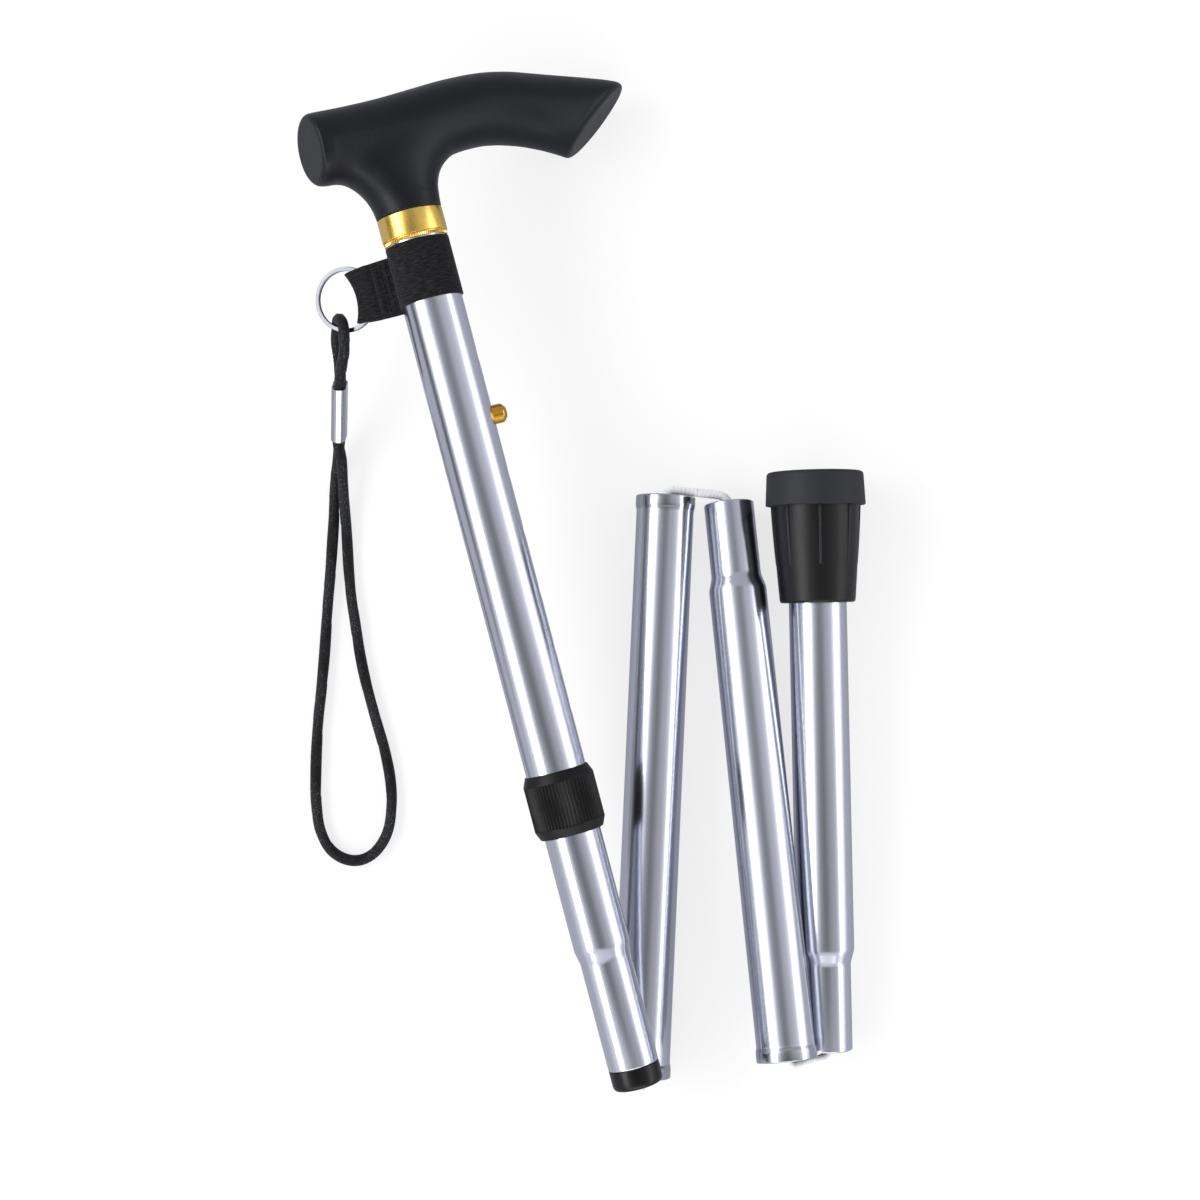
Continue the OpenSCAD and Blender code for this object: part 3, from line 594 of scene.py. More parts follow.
handle_abs = moulded("textured black ABS", "#030408", "#15171d", 0.4, 0.08, 0.55, 0.09,
                     Specular_IOR_Level=0.24)
nut_nylon = moulded("black nylon", "#060607", "#0c0c0e", 0.46, 0.05, 0.6, 0.02, Specular_IOR_Level=0.24)
plug_plastic = moulded("glossy black polyethylene", "#050506", "#0a0a0c", 0.3, 0.04, 0.8, 0.01,
                       Specular_IOR_Level=0.28)
tip_rubber = moulded("black rubber", "#050506", "#0a0a0c", 0.4, 0.05, 0.7, 0.03, Specular_IOR_Level=0.3)
# The foot's dull grey rubber is also put on the ribs as a painted highlight.
foot_rubber_and_rib_highlight = moulded("dull grey black rubber, also rib highlight", "#1b1c1f", "#26272b", 0.62, 0.05, 0.7, 0.03,
                      Specular_IOR_Level=0.3)
white_plastic = moulded("white polypropylene", "#d9d9d5", "#e6e6e2", 0.45, 0.04, 0.8, 0.01)

# %% [markdown]
# ## Handle
#
# The grip is one swelling form: an oval nose with a flat face, a waist where it meets
# the neck, a raised back for the palm and an end that is cut off at a slant. It is
# lofted through oval rings, each given by its lower and upper corner in the handle's
# plane, so the rings can lean over and turn towards the slanted end. The neck is a
# second loft. A voxel remesh welds the two. Smoothing the whole form would melt the
# rims too, so only the fillet round the neck is smoothed for long.

# %% Rings of the grip and the neck
HANDLE_LEN, NOSE_REACH, RISE, THICK, NECK_R = 121.0, 28.4, 43.2, 24.6, 11.0
HANDLE_ROLL, END_SKEW, END_RIM, END_STEP = math.radians(25), math.radians(20), 2.0, 4.0
handle = up(HANDLE_AT) @ Matrix.Rotation(HANDLE_ROLL, 4, "Z")
GRIP = [
    (0.000, 0.371, 0.000, 0.843, 0.86, 0), (0.003, 0.351, 0.003, 0.862, 0.905, 0),
    (0.009, 0.335, 0.009, 0.875, 0.93, 0), (0.020, 0.327, 0.020, 0.881, 0.945, 0),
    (0.060, 0.322, 0.060, 0.886, 0.96, 0), (0.120, 0.322, 0.120, 0.894, 0.97, 0),
    (0.220, 0.338, 0.220, 0.916, 0.99, 0), (0.320, 0.369, 0.320, 0.951, 1.00, 0),
    (0.426, 0.414, 0.426, 0.987, 1.00, 0), (0.530, 0.437, 0.530, 1.000, 1.00, 0),
    (0.618, 0.396, 0.618, 0.980, 1.00, 0.1), (0.672, 0.347, 0.690, 0.941, 0.99, 0.35),
    (0.704, 0.314, 0.770, 0.890, 0.98, 0.6), (0.728, 0.289, 0.850, 0.836, 0.97, 0.8),
    (0.745, 0.273, 0.925, 0.779, 0.96, 0.95), (0.760, 0.258, 0.990, 0.721, 0.95, 1.0),
]
NECK = [
    (0.00, 0.000, 0.000, 1.000), (0.051, 0.002, 0.001, 1.000), (0.103, 0.006, 0.003, 1.005),
    (0.195, 0.022, 0.011, 1.02), (0.287, 0.050, 0.028, 1.04), (0.349, 0.085, 0.052, 1.06),
    (0.441, 0.100, 0.100, 1.08), (0.533, 0.100, 0.150, 1.10), (0.636, 0.100, 0.150, 1.11),
]
RING_SIDES, RIM_PARTS, BETWEEN = 64, 5, 3


def grip_ring(share, inset=0.0):
    low = Vector((share[0] * HANDLE_LEN - NOSE_REACH, 0, share[1] * RISE)) * MM
    high = Vector((share[2] * HANDLE_LEN - NOSE_REACH, 0, share[3] * RISE)) * MM
    long = (high - low) / 2
    half = share[4] * THICK / 2 * MM
    facing = long.cross(Vector((0, 1, 0))).normalized()
    wide = Vector((0, half, 0)) - facing * half * math.tan(share[5] * END_SKEW)
    long *= 1 - inset * MM / long.length
    wide *= 1 - inset * MM / half
    made = Matrix((long, wide, facing)).transposed().to_4x4()
    made.translation = (low + high) / 2
    return made


def neck_ring(share):
    to_nose = NECK_R + share[1] * HANDLE_LEN
    to_tip = NECK_R + share[2] * HANDLE_LEN
    made = Matrix.Diagonal(((to_nose + to_tip) / 2 * MM, share[3] * NECK_R * MM, 1, 1))
    made.translation = Vector(((to_tip - to_nose) / 2, 0, share[0] * RISE)) * MM
    return made


def between(rows, count):
    smooth = []
    last = len(rows) - 1
    for i in range(last):
        four = [Vector(rows[min(max(i + k, 0), last)]) for k in (-1, 0, 1, 2)]
        smooth += [eased(*four, k / count) for k in range(count)]
    return smooth + [Vector(rows[-1])]


# %% Loft, weld and fillet
def ring(bm, matrix):
    made = bmesh.ops.create_circle(bm, segments=RING_SIDES, radius=1.0, matrix=matrix)
    return [e for e in bm.edges if e.verts[0] in made["verts"] and e.verts[1] in made["verts"]]


def loft(bm, matrices):
    hoops = [ring(bm, m) for m in matrices]
    for a, b in zip(hoops, hoops[1:]):
        bmesh.ops.bridge_loops(bm, edges=a + b)
    for last in (hoops[0], hoops[-1]):
        bmesh.ops.contextual_create(bm, geom=last)


def rim_rings():
    before, end = Vector(GRIP[-2]), Vector(GRIP[-1])
    made = []
    for k in range(RIM_PARTS + 1):
        a = k / RIM_PARTS * math.pi / 2
        t = 1 - END_RIM * (1 - math.sin(a)) / END_STEP
        made.append(grip_ring(before.lerp(end, t), END_RIM * (1 - math.cos(a))))
    return made


STUB_R, STUB_LEN, VOXEL = 9.4, 26.0, 0.45
FILLET_X, FILLET_Z = (-24, 36), (5, 27)
ROUNDS_ALL, ROUNDS_FILLET = 6, 170
bm = bmesh.new()
loft(bm, [grip_ring(row) for row in between(GRIP[:-1], BETWEEN)] + rim_rings())
loft(bm, [neck_ring(row) for row in between(NECK, BETWEEN)])
bmesh.ops.create_cone(bm, cap_ends=True, segments=RING_SIDES, radius1=STUB_R * MM, radius2=STUB_R * MM,
                      depth=2 * STUB_LEN * MM)
bmesh.ops.recalc_face_normals(bm, faces=bm.faces)
welded = applied(meshed(bm, "handle_blank"), "REMESH", mode="VOXEL", voxel_size=VOXEL * MM)
bm = bmesh.new()
bm.from_mesh(welded)
fillet = [v for v in bm.verts if FILLET_X[0] < v.co.x / MM < FILLET_X[1]
          and FILLET_Z[0] < v.co.z / MM < FILLET_Z[1]]
for verts, rounds in ((bm.verts[:], ROUNDS_ALL), (fillet, ROUNDS_FILLET)):
    for k in range(rounds):
        bmesh.ops.smooth_vert(bm, verts=verts, factor=0.5, use_axis_x=True, use_axis_y=True, use_axis_z=True)
set_down("handle_moulding", bm, handle, "handle_section", "handle_plastic", handle_abs, angle=80,
         replaces=["handle_grip"])

# %% [markdown]
# ## Gold collar
#
# A short brass ferrule, polished and lacquered gold, hides the joint between handle and
# tube. Its lower edge is knurled: a row of tiny teeth, set off from the band by a groove,
# that reads as a dark dotted line.

# %% Polished gold and the knurled edge
COLLAR_AT, COLLAR_R, COLLAR_H, SLEEVE_R = 288.3, 11.0, 9.1, 10.15
TEETH, TOOTH_H, TOOTH_IN, TOOTH_FROM_R = 90, 0.95, 0.972, SLEEVE_R + 0.2
TEETH_R, GROOVE_R, SOFT = COLLAR_R - 0.3, COLLAR_R - 0.7, 0.1
gold = drawn_metal("polished gold lacquer on brass", "#f6d77e", "#e0b54a", 0.27, 0.06, 0.01, (0.9, 0.25, 1))
profile = rounded([(SLEEVE_R, 0.0, SOFT), (TEETH_R, 0.0, SOFT), (TEETH_R, 0.9, SOFT / 2),
                   (GROOVE_R, 1.05, 0.0), (GROOVE_R, 1.25, 0.0), (COLLAR_R, 1.45, SOFT),
                   (COLLAR_R, COLLAR_H, EDGE), (SLEEVE_R, COLLAR_H, SOFT)], 3)
bm = spun(profile, 2 * TEETH)
for vert in bm.verts:
    turn = round(math.atan2(vert.co.y, vert.co.x) / math.pi * TEETH)
    if vert.co.z < TOOTH_H * MM and vert.co.xy.length > TOOTH_FROM_R * MM and turn % 2:
        vert.co.xy *= TOOTH_IN
wrap_uv(bm, COLLAR_R)
set_down("gold_collar_knurled", bm, up(COLLAR_AT), "handle_section", "gold_metal", gold,
         replaces=["gold_collar"])

# %% [markdown]
# ## Woven strap
#
# A band of black woven elastic is stretched round the tube. Its rubber cores run round
# the band and show as fine ribs. The same webbing is folded over the ring and sewn back on
# itself, which leaves a thick hem beside the band and a fold that follows the ring.

# %% Finish of the webbing
RIB_MM = 0.79
THREAD_SCALE = (0.35, 3.0, 1)
THREAD_RAMP = ((0.42, "#050506"), (0.78, "#2c2d31"))


def webbing(name):
    made, tree, shader = new_finish(name, Roughness=0.85, Specular_IOR_Level=0.2,
                                     Sheen_Weight=0.06, Sheen_Roughness=0.4)
    where = node(tree, "ShaderNodeTexCoord")
    across = node(tree, "ShaderNodeMapping", {"Vector": where.outputs["UV"]}, {"Scale": THREAD_SCALE})
    threads = node(tree, "ShaderNodeTexNoise", {"Vector": across.outputs["Vector"]},
                   {"Scale": 1.0, "Detail": 4.0})
    tint = node(tree, "ShaderNodeValToRGB", {"Fac": threads.outputs["Fac"]})
    for stop, (at, colour) in zip(tint.color_ramp.elements, THREAD_RAMP):
        stop.position = at
        stop.color = linear(colour)
    relief = node(tree, "ShaderNodeBump", {"Height": threads.outputs["Fac"]},
                  {"Strength": 0.7, "Distance": 0.1 * MM})
    tree.links.new(tint.outputs["Color"], shader.inputs["Base Color"])
    tree.links.new(relief.outputs["Normal"], shader.inputs["Normal"])
    return made


band_weave = webbing("black woven elastic")
strap_weave = webbing("black strap webbing")

# %% Band with its ribs
STRAP_MID, STRAP_H, BAND_R = 277.75, 19.9, 10.75
VALLEY_R, FLANK_R = BAND_R - 0.14, BAND_R - 0.02
ribs = round(STRAP_H / RIB_MM)
pitch = STRAP_H / ribs
outside = []
for i in range(ribs):
    low = -STRAP_H / 2 + i * STRAP_H / ribs
    outside += [(VALLEY_R, low), (FLANK_R, low + 0.25 * pitch), (BAND_R, low + 0.5 * pitch),
                (FLANK_R, low + 0.75 * pitch)]
outside += [(VALLEY_R, STRAP_H / 2)]
bm = spun(outside + [(SLEEVE_R, STRAP_H / 2), (SLEEVE_R, -STRAP_H / 2)])
wrap_uv(bm, BAND_R)
set_down("strap_band_woven", bm, up(STRAP_MID), "handle_section", "strap_fabric", band_weave, angle=60,
         replaces=["strap_band"])

# %% Folded loop, hem and stitches
LOOP_TURN = math.radians(162)
RING_R, STRAP_T = 10.25, 0.6
LOOP_EDGES = [(10.0, -11.2, 8.1), (16.5, -10.9, 8.1), (20.0, -10.6, 8.0), (27.4, -9.7, 7.4)]
HOLLOW_FROM, FOLD_AT, HOLLOW_POWER, FOLD_PULL, HEM_IN = 20.0, 27.2, 1.5, 2.2, 0.25
RIBBON_STEP, RIBBON_ROWS = 0.35, 18
loop_at = up(STRAP_MID) @ Matrix.Rotation(LOOP_TURN, 4, "Z")
LAYER = [(9.9, 0.32), (13.0, 0.33), (16.6, 0.33), (18.4, 0.5), (19.4, 0.95), (20.6, 1.22), (22.4, 1.26),
         (24.6, 1.23), (26.2, 1.05), (26.9, 0.55)]
FOLDED = LAYER + [(27.1, 0.0)] + [(x, -y) for x, y in reversed(LAYER)]
HEM = [(10.9, 0.95), (12.0, 1.1), (13.5, 1.15), (15.0, 1.2), (15.7, 1.45), (16.4, 1.72), (17.1, 1.72),
       (17.7, 1.4), (17.9, 0.95)]


def edges_at(x):
    for (a, low_a, high_a), (b, low_b, high_b) in zip(LOOP_EDGES, LOOP_EDGES[1:]):
        if x <= b:
            t = max(0.0, (x - a) / (b - a))
            return low_a + t * (low_b - low_a), high_a + t * (high_b - high_a)
    return LOOP_EDGES[-1][1:]


def ribbon(name, line, bend, shrink=0.0):
    path = smooth_path([(x, y, 0) for x, y in line], RIBBON_STEP)
    bm = bmesh.new()
    uv = bm.loops.layers.uv.new("UVMap")
    bmesh.ops.create_grid(bm, x_segments=len(path) - 1, y_segments=RIBBON_ROWS, size=0.5, calc_uvs=True)
    for vert in bm.verts:
        i = round((vert.co.x + 0.5) * (len(path) - 1))
        t = vert.co.y + 0.5
        x, y = path[i].x, path[i].y
        low, high = edges_at(x)
        z = low + shrink + t * (high - low - 2 * shrink)
        past = max(0.0, (x - HOLLOW_FROM) / (FOLD_AT - HOLLOW_FROM))
        pull = past ** HOLLOW_POWER * bend * (1 - ((2 * t - 1) ** 2))
        vert.co = Vector((x - pull, y, z)) * MM
    for face in bm.faces:
        for corner in face.loops:
            corner[uv].uv = (corner[uv].uv.x * length_of(path), corner[uv].uv.y * STRAP_H)
    bmesh.ops.recalc_face_normals(bm, faces=bm.faces)
    bmesh.ops.solidify(bm, geom=bm.faces[:], thickness=STRAP_T * MM)
    bmesh.ops.recalc_face_normals(bm, faces=bm.faces)
    return meshed(bm, name, loop_at)


piece("strap_loop_folded", ribbon("strap_loop_folded", FOLDED, FOLD_PULL), "handle_section", "strap_fabric",
      strap_weave, angle=60, replaces=["strap_loop"])
piece("strap_hem", ribbon("strap_hem", HEM, 0.0, HEM_IN), "handle_section", "strap_fabric", strap_weave,
      angle=60)

thread = moulded("black sewing thread", "#050506", "#121315", 0.6, 0.05, 0.4, 0.05, Specular_IOR_Level=0.2)
STITCH_ROWS, STITCH_LIFT, STITCH_GAP, STITCH_MARGIN = (12.6, 14.6), 1.55, 2.05, 2
STITCH_SHAPE = Matrix.Diagonal((0.26, 0.2, 0.75, 1))
bm = bmesh.new()
for x in STITCH_ROWS:
    low, high = edges_at(x)
    count = int((high - low - STITCH_MARGIN) / STITCH_GAP)
    for i in range(count):
        z = (low + high) / 2 + (i - (count - 1) / 2) * STITCH_GAP
        shape = Matrix.Translation(Vector((x, STITCH_LIFT, z)) * MM) @ STITCH_SHAPE
        bmesh.ops.create_icosphere(bm, subdivisions=1, radius=MM, matrix=shape)
set_down("strap_stitches", bm, loop_at, "handle_section", "strap_fabric", thread)

# %% [markdown]
# ## Split ring
#
# A key ring is a flat steel wire wound twice, so two coils lie against each other. A torus
# would miss that line between the coils. A spin that also climbs a little each step
# winds the coils directly.

# %% Nickel steel and the wound coils
nickel = drawn_metal("nickel plated steel", "#696a6f", "#5e6065", 0.18, 0.03, 0.004, (2.0, 2.0, 1))
ring_up = Vector(joint["ring_turn"]["axis"]).normalized()
loop_out = (loop_at.to_3x3() @ Vector((1, 0, 0))).normalized()
ring_side = ring_up.cross(loop_out)
ring_at = Matrix((loop_out, ring_side, ring_up)).transposed().to_4x4()
ring_at.translation = place("ring_turn")
COIL_T, COIL_PITCH, WIRE_W, WIRE_EDGE, TURNS, COIL_STEPS = 0.48, 0.5, 1.45, 0.18, 1.97, 240
WIRE_IN, WIRE_OUT = RING_R - WIRE_W / 2, RING_R + WIRE_W / 2
wire = rounded([(WIRE_IN, -COIL_T / 2, WIRE_EDGE), (WIRE_OUT, -COIL_T / 2, WIRE_EDGE),
                (WIRE_OUT, COIL_T / 2, WIRE_EDGE), (WIRE_IN, COIL_T / 2, WIRE_EDGE)], 3)
bm = bmesh.new()
start = [bm.verts.new((p[0] * MM, 0, (p[1] - COIL_PITCH * TURNS / 2) * MM)) for p in wire]
hoop = [bm.edges.new(pair) for pair in zip(start, start[1:] + start[:1])]
wound = bmesh.ops.spin(bm, geom=start + hoop, cent=(0, 0, 0), axis=(0, 0, 1), angle=2 * math.pi * TURNS,
                       dvec=(0, 0, COIL_PITCH * TURNS / COIL_STEPS * MM), steps=COIL_STEPS)
bmesh.ops.contextual_create(bm, geom=hoop)
bmesh.ops.contextual_create(bm, geom=[g for g in wound["geom_last"] if isinstance(g, bmesh.types.BMEdge)])
bmesh.ops.recalc_face_normals(bm, faces=bm.faces)
wrap_uv(bm, RING_R)
set_down("split_ring_wound", bm, ring_at @ Matrix.Rotation(math.pi, 4, "Z"), "ring", "ring_steel", nickel,
         replaces=["key_ring"])

# %% [markdown]
# ## Lock nut, button and plug
#
# The lock nut has sixty fine ribs between two chamfered rims. It is spun in fine steps,
# and every point between the rims is then moved in by the rib's wave. The brass button is
# a turned pin with a soft chamfer, and the plug is a moulded cap with eased edges.

# %% Lock nut
NUT_AT, NUT_H, NUT_R, NUT_END_R, NUT_RIM, NUT_RIBS, RIB_DEEP = 86.2, 21.4, 11.9, 10.6, 3.1, 60, 0.4
NUT_LOW_BORE, NUT_BORE, NUT_SHELF, NUT_STEP, RIB_STEPS = 9.55, 10.15, 3.3, 0.3, 6
NUT_TOP_RIM = NUT_H - NUT_RIM
nut = rounded([(NUT_LOW_BORE, 0, 0.1), (NUT_END_R, 0, 0.4), (NUT_R - 0.1, NUT_RIM - NUT_STEP, 0.5),
               (NUT_R, NUT_RIM, 0.1), (NUT_R, NUT_RIM + NUT_STEP, 0), (NUT_R, NUT_H / 2, 0),
               (NUT_R, NUT_TOP_RIM - NUT_STEP, 0), (NUT_R, NUT_TOP_RIM, 0.1),
               (NUT_R - 0.1, NUT_TOP_RIM + NUT_STEP, 0.5), (NUT_END_R, NUT_H, 0.4), (NUT_BORE, NUT_H, 0.1),
               (NUT_BORE, NUT_SHELF, 0), (NUT_LOW_BORE, NUT_SHELF, 0)])
bm = spun(nut, RIB_STEPS * NUT_RIBS)
for vert in bm.verts:
    inside = (NUT_RIM + 0.2) * MM < vert.co.z < (NUT_TOP_RIM - 0.2) * MM
    if inside and vert.co.xy.length > (NUT_R - NUT_STEP) * MM:
        wave = 0.5 - 0.5 * math.cos(math.atan2(vert.co.y, vert.co.x) * NUT_RIBS)
        vert.co.xy *= 1 - RIB_DEEP / NUT_R * wave
wrap_uv(bm, NUT_R)
set_down("lock_nut_ribbed", bm, up(NUT_AT), "lock", "lock_plastic", nut_nylon, angle=30,
         replaces=["lock_nut"])

# %% Button and end plug
brass = drawn_metal("polished brass", "#e2b350", "#b57f24", 0.18, 0.05, 0.01, (1.5, 1.5, 1))
button_at = up(BUTTON_AT) @ Matrix.Rotation(BUTTON_TURN, 4, "Z") @ Matrix.Rotation(math.pi / 2, 4, "Y")
BUTTON_R, BUTTON_TOP, FLANGE_TOP, FLANGE_R, BUTTON_CUT = 3.25, 14.7, 6.72, 4.49, 1.5
FLANGE_LOW = FLANGE_TOP - 1.2
turned = rounded([(0, FLANGE_LOW, 0), (FLANGE_R, FLANGE_LOW, 0.2), (FLANGE_R, FLANGE_TOP, 0.2),
                  (BUTTON_R, FLANGE_TOP, 0.1), (BUTTON_R, BUTTON_TOP - BUTTON_CUT, 0.5),
                  (BUTTON_R - BUTTON_CUT, BUTTON_TOP - 0.1, 0.5), (0, BUTTON_TOP, 0)])
bm = spun(turned, 64, closed=False)
wrap_uv(bm, BUTTON_R)
set_down("height_button_turned", bm, button_at, "button", "button_brass", brass, replaces=["height_button"])
CORD_HOLE, PLUG_END, STEM_R = 1.9, PLUG_SHOW + 12.0, SPIGOT_BORE_R - 0.05
cap = rounded([(CORD_HOLE, 0, 0.4), (SPIGOT_R, 0, 2.0), (SPIGOT_R, PLUG_SHOW, 0.25), (STEM_R, PLUG_SHOW, 0.1),
               (STEM_R, PLUG_END, 0.3), (CORD_HOLE, PLUG_END, 0.2)])
bm = spun(cap)
wrap_uv(bm, SPIGOT_R)
set_down("end_plug_moulded", bm, first, "inner_section", "plug_plastic", plug_plastic, replaces=["end_plug"])

# %% [markdown]
# ## Rubber tip
#
# The tip is moulded rubber: a wide round foot, a body that narrows to its mouth, and eight
# thin ribs that stiffen the body under the foot. The body is spun with soft edges. One rib
# is shaped as a small wedge that sinks into the body and thins out, and then copied round.
# The ribs are coloured the lighter grey of the foot, a painted highlight on the ribs.

# %% Tip body and ribs
FOOT_R, FOOT_END_R, FOOT_H, TIP_H, TIP_LOW_R, TIP_HIGH_R = 17.0, 16.4, 11.5, 44.5, 14.75, 12.8
TIP_FLOOR, TIP_BORE_R, BULGE, BODY_EASE = 8.0, TUBE_R + 0.05, 1.4, 2.0
LEN = FOURTH_LEN / MM
mouth, foot = LEN - TIP_H, LEN - FOOT_H
bore_end = LEN - TIP_FLOOR


def body_r(z):
    share = (foot - z) / (foot - mouth)
    return TIP_LOW_R - (TIP_LOW_R - TIP_HIGH_R) * share ** BULGE


def up_body(share):
    return mouth + (foot - mouth) * share


outer = [(0, LEN, 0), (FOOT_END_R, LEN, 1.4), (FOOT_R, foot, 0.5), (TIP_LOW_R, foot, 0.2)]
outer += [(body_r(up_body(share)), up_body(share), BODY_EASE) for share in (0.8, 0.6, 0.4, 0.2)]
outer += [(TIP_HIGH_R, mouth, 1.0), (TIP_BORE_R, mouth, 0.5), (TIP_BORE_R, bore_end, 0.2), (0, bore_end, 0)]
bm = spun(rounded(outer), closed=False)
RIBS, RIB_W, RIB_OUT, RIB_IN, RIB_SHARE, RIB_CUTS = 8, 0.9, 0.55, 1.0, 0.61, 7
RIB_FADE, RIB_EDGE, SHARP = 0.75, 0.2, 1
rib = bmesh.new()
bmesh.ops.create_cube(rib, size=1.0)
tall = [e for e in rib.edges if e.verts[0].co.z != e.verts[1].co.z]
bmesh.ops.subdivide_edges(rib, edges=tall, cuts=RIB_CUTS, use_grid_fill=True)
for vert in rib.verts:
    fade = 0.5 - vert.co.z
    z = foot - fade * RIB_SHARE * (foot - mouth)
    reach = body_r(z) + (RIB_OUT * (1 - RIB_FADE * fade) if vert.co.x > 0 else -RIB_IN)
    vert.co = Vector((reach, vert.co.y * RIB_W, z)) * MM
sharp = [e for e in rib.edges if e.calc_face_angle(0) > SHARP]
bmesh.ops.bevel(rib, geom=sharp, offset=RIB_EDGE * MM, offset_type="OFFSET", segments=2, profile=0.5,
                affect="EDGES", material=-1)
bmesh.ops.recalc_face_normals(rib, faces=rib.faces)
# The ribs take the lighter grey of the foot, a painted highlight for the light that catches them.
for face in rib.faces:
    face.material_index = 1
one_rib = meshed(rib, "tip_rib")
for i in range(RIBS):
    bm.from_mesh(one_rib)
    one_rib.transform(Matrix.Rotation(2 * math.pi / RIBS, 4, "Z"))
bpy.data.meshes.remove(one_rib)
for face in bm.faces:
    if face.calc_center_median().z > (foot - 0.1) * MM:
        face.material_index = 1
set_down("rubber_tip_moulded", bm, fourth, "fourth_section", "tip_rubber", tip_rubber, foot_rubber_and_rib_highlight,
         replaces=["rubber_tip"])

# %% [markdown]
# ## Elastic cord
#
# White elastic runs through all the tubes and shows only where it crosses from one mouth to
# the next. Each crossing is two short pieces, one from each mouth to the middle, so the
# cord bends smoothly between the tubes. The runs inside the tubes are plain braided lengths.

# %% Runs inside and bends between the tubes
ELASTIC_R, BEND_GAP = 1.5 * MM, 0.3 * MM
ELASTIC_STRANDS, ELASTIC_DEEP, ELASTIC_STEP, RUN_STEPS = 24, 0.08 * MM, 0.3 * MM, 200
ANCHOR_TOP, KNOT_BACK = 153.2 * MM, 4.2
KNOT_AT = (TUBE_END - KNOT_BACK) * MM
run_in = ELASTIC_R + BEND_GAP - CORD_OUT
RUNS = [
    ("first", first, "inner_section", ANCHOR_TOP),
    ("second", second, "second_section", SECOND_LEN * MM - run_in),
    ("third", third, "third_section", THIRD_LEN * MM - run_in),
    ("fourth", fourth, "fourth_section", KNOT_AT),
]


def elastic(name, path, length):
    return braid(tube_mesh(name, path, ELASTIC_R, 3), length, ELASTIC_R, ELASTIC_STRANDS, ELASTIC_DEEP)


for name, at, body, end in RUNS:
    run = end - run_in
    points = [at @ Vector((0, 0, run_in + run * i / RUN_STEPS)) for i in range(RUN_STEPS + 1)]
    mesh = elastic(f"{name}_cord_braid", points, run)
    piece(f"{name}_cord_braid", mesh, body, "elastic", white_braid, angle=60, replaces=[f"{name}_cord_run"])

FOLDS = [
    ("first", "inner_section", "second_section", first_way, second_way),
    ("second", "second_section", "third_section", -second_way, third_way),
    ("third", "third_section", "fourth_section", -third_way, fourth_way),
]
EASE_R, CORNER_SHARE, TAIL = 3.2 * MM, 0.28, 4 * MM


def crossing(name, node_name, corner, out_way, middle):
    to_middle = (middle - corner).normalized()
    route = [corner + out_way * (CORD_OUT + TAIL), corner + out_way * EASE_R,
             corner + (out_way + to_middle) * CORNER_SHARE * EASE_R, corner + to_middle * EASE_R, middle]
    path = smooth_path(route, ELASTIC_STEP)
    mesh = elastic(name, path, length_of(path))
    mesh.materials.append(white_braid)
    mesh.shade_smooth()
    made = shown(name, mesh)
    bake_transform(made)
    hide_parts(node_name)


for name, parent, child, back, on in FOLDS:
    near, beyond = place(f"{name}_fold"), place(f"{name}_fold_far")
    link, middle = f"{name}_fold_cord", (near + beyond) / 2
    crossing(f"{name}_crossing_near", link, near, back, middle)
    crossing(f"{name}_crossing_far", link, beyond, on, middle)
    print(name, "crossing is", round((beyond - near).length / MM, 1), "mm long")

# %% [markdown]
# ## What stays as the solids are
#
# The ferrule and the pieces inside the tubes, such as the collet, the guides and the spring,
# have the right shape in the solids, so they only take a finish.

# %% Finishes for the solids that stay
steel = drawn_metal("bright spring steel", "#c9ccd0", "#aeb2b7", 0.24, 0.05, 0.01, (2.0, 2.0, 1))
ferrule_metal = drawn_metal("polished ferrule aluminium", "#c2c3c8", "#a9abb1", 0.14, 0.03, 0.004,
                            (2.0, 2.0, 1))
STAY = {
    nut_nylon: ["lock_collet", "third_guide", "fourth_guide"],
    ferrule_metal: ["lanyard_ferrule"],
    steel: ["handle_pin", "button_spring", "tip_washer"],
    white_plastic: ["upper_anchor", "lower_anchor"],
}
for made, names in STAY.items():
    for name in names:
        mesh = frame["nodes"][name].data
        mesh.materials.clear()
        mesh.materials.append(made)
print("finished solids:", sum(len(names) for names in STAY.values()))

# %% [markdown]
# ## Table and light
#
# The photograph is a bright product shot on white. A polished tube shows its surroundings
# as long bands, so the sky is painted in bands from left to right: a bright wall on either
# side, a dark gap overhead and a pale one beside it. The bands darken a little towards the
# viewer, as the near ends of the tubes do in the photograph. Two soft boxes stand in the
# bright walls and a third lights the cane from the side of the viewer. The table glows
# for the eye, which keeps it white and its shadows light. A mirror sees it as a dull grey,
# so that the edges of the tubes stand out from the white.

# %% Floor
GLOW, DULL = 0.75, 0.72
FLOOR_HALF, FLOOR_DROP = 3.0, 0.2 * MM
bm = bmesh.new()
bmesh.ops.create_grid(bm, x_segments=1, y_segments=1, size=FLOOR_HALF)
floor_mesh = meshed(bm, "floor", Matrix.Translation((0, 0, -FLOOR_DROP)))
floor_white, tree, shader = new_finish("white table", Base_Color=linear("#f4f4f5"), Roughness=0.8,
                                       Specular_IOR_Level=0.1)
path = node(tree, "ShaderNodeLightPath")
table = shader
for ray, share, colour in (("Is Camera Ray", GLOW, "#ffffff"), ("Is Glossy Ray", DULL, "#9a9ba6")):
    part = node(tree, "ShaderNodeMath", {0: path.outputs[ray]}, {1: share}, operation="MULTIPLY")
    glow = node(tree, "ShaderNodeEmission", values={"Color": linear(colour), "Strength": 1.0})
    table = node(tree, "ShaderNodeMixShader", {0: part.outputs[0], 1: table.outputs[0], 2: glow.outputs[0]})
tree.links.new(table.outputs[0], tree.nodes["Material Output"].inputs["Surface"])
floor_mesh.materials.append(floor_white)
floor = shown("floor", floor_mesh)


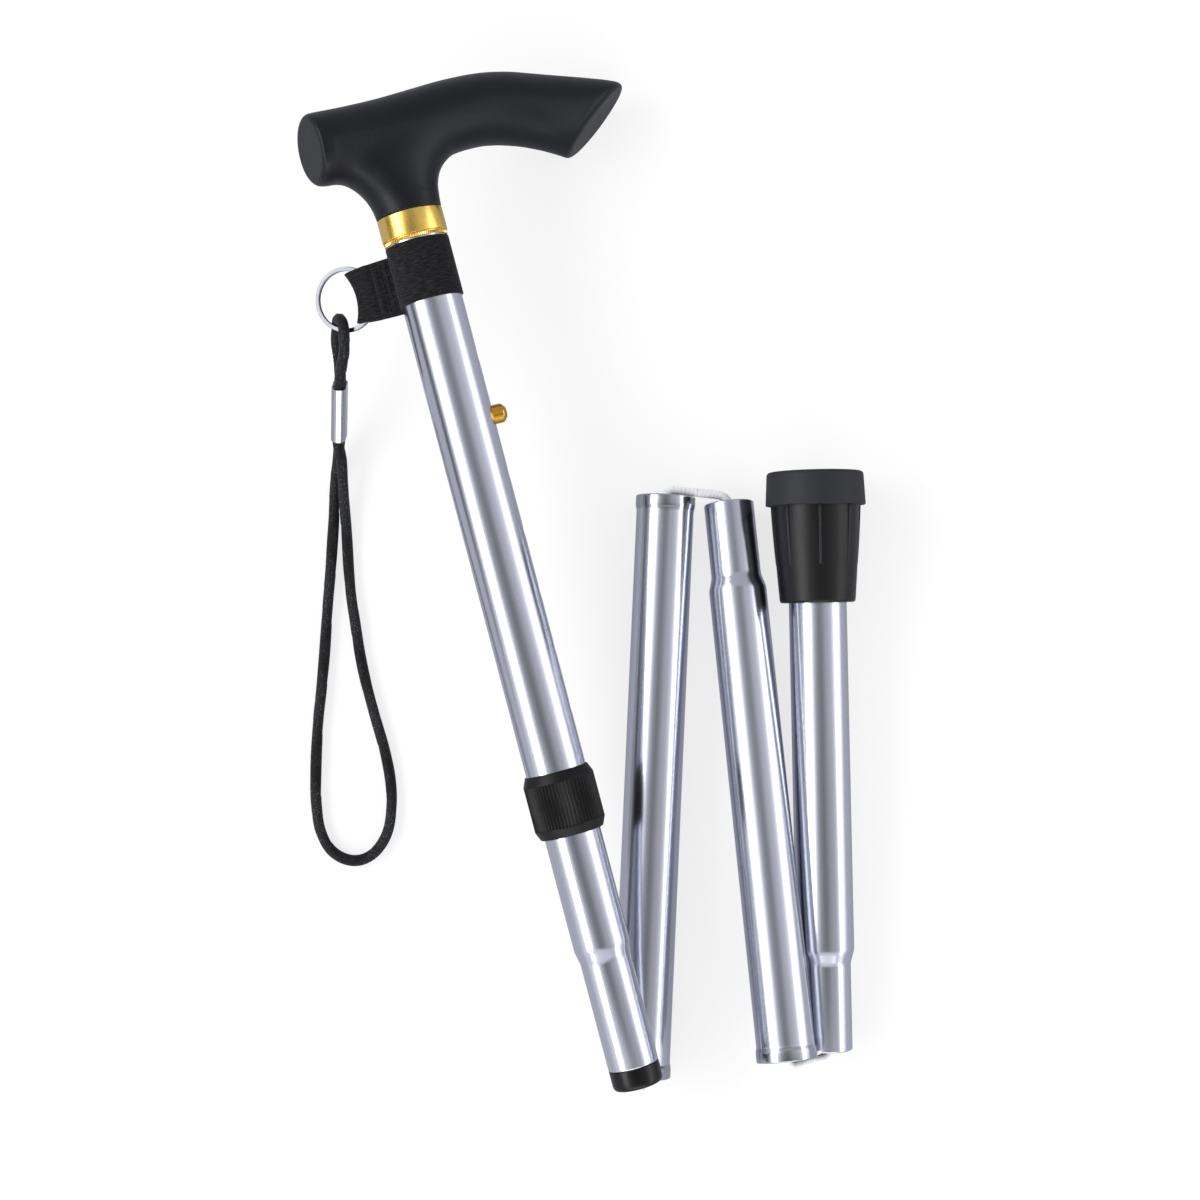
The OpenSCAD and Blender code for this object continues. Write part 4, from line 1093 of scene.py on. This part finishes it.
# %% Soft boxes
def soft_box(name, at, size, size_y, power):
    data = bpy.data.lights.new(name, "AREA")
    data.shape = "RECTANGLE"
    data.size, data.size_y, data.energy = size, size_y, power
    lamp = shown(name, data)
    lamp.location = at
    lamp.rotation_euler = (-Vector(at)).to_track_quat("-Z", "Y").to_euler()


BOX_LONG = 1.9
soft_box("left soft box", (-1.0, 0.0, 0.9), BOX_LONG, 0.5, 14)
soft_box("right soft box", (1.25, 0.0, 0.5), BOX_LONG, 0.4, 4.5)
soft_box("near soft box", (0.0, -1.3, 0.7), BOX_LONG, 0.5, 8)

# %% Banded sky
BANDS = [
    (-1.0, 0.1), (-0.965, 0.1), (-0.92, 1.2), (-0.85, 1.6), (-0.55, 1.6), (-0.40, 0.65), (-0.22, 0.4),
    (0.0, 0.27), (0.18, 0.36), (0.38, 0.6), (0.58, 0.66), (0.74, 0.9), (0.88, 1.4), (1.0, 1.6),
]
TOP_LEVEL = 2
NEAR_SIDE, NEAR_FROM, NEAR_TO = 0.9, -0.45, -0.3
FAR_SIDE, FAR_FROM, FAR_TO = 0.6, 0.32, 0.5
FALL_FROM, FALL_TO, FALL_LOW, FALL_HIGH = -0.15, 0.15, 0.72, 1.14
world = bpy.data.worlds.new("studio")
scene.world = world
world.use_nodes = True
tree = world.node_tree
where = node(tree, "ShaderNodeTexCoord")
split = node(tree, "ShaderNodeSeparateXYZ", {"Vector": where.outputs["Generated"]})
across = node(tree, "ShaderNodeMapRange", {"Value": split.outputs["X"]}, {"From Min": -1.0})
bands = node(tree, "ShaderNodeFloatCurve", {"Value": across.outputs[0]}, {"Factor": 1.0})
curve = bands.mapping.curves[0]
while len(curve.points) < len(BANDS):
    curve.points.new(0.5, 0.5)
for point, (x, level) in zip(curve.points, BANDS):
    point.location = ((x + 1) / 2, level / TOP_LEVEL)
    point.handle_type = "VECTOR"
bands.mapping.update()
fall = node(tree, "ShaderNodeMapRange", {"Value": split.outputs["Y"]},
            {"From Min": FALL_FROM, "From Max": FALL_TO, "To Min": TOP_LEVEL * FALL_LOW,
             "To Max": TOP_LEVEL * FALL_HIGH})
walls = node(tree, "ShaderNodeMath", {0: bands.outputs[0], 1: fall.outputs[0]}, operation="MULTIPLY")
near = node(tree, "ShaderNodeMapRange", {"Value": split.outputs["Y"]},
            {"From Min": NEAR_FROM, "From Max": NEAR_TO})
level = node(tree, "ShaderNodeMix", {"Factor": near.outputs[0], "B": walls.outputs[0]}, {"A": NEAR_SIDE})
far = node(tree, "ShaderNodeMapRange", {"Value": split.outputs["Y"]},
           {"From Min": FAR_FROM, "From Max": FAR_TO})
level = node(tree, "ShaderNodeMix", {"Factor": far.outputs[0], "A": level.outputs["Result"]}, {"B": FAR_SIDE})
background = tree.nodes["Background"]
background.inputs["Color"].default_value = linear("#fbfbff")
tree.links.new(level.outputs["Result"], background.inputs["Strength"])
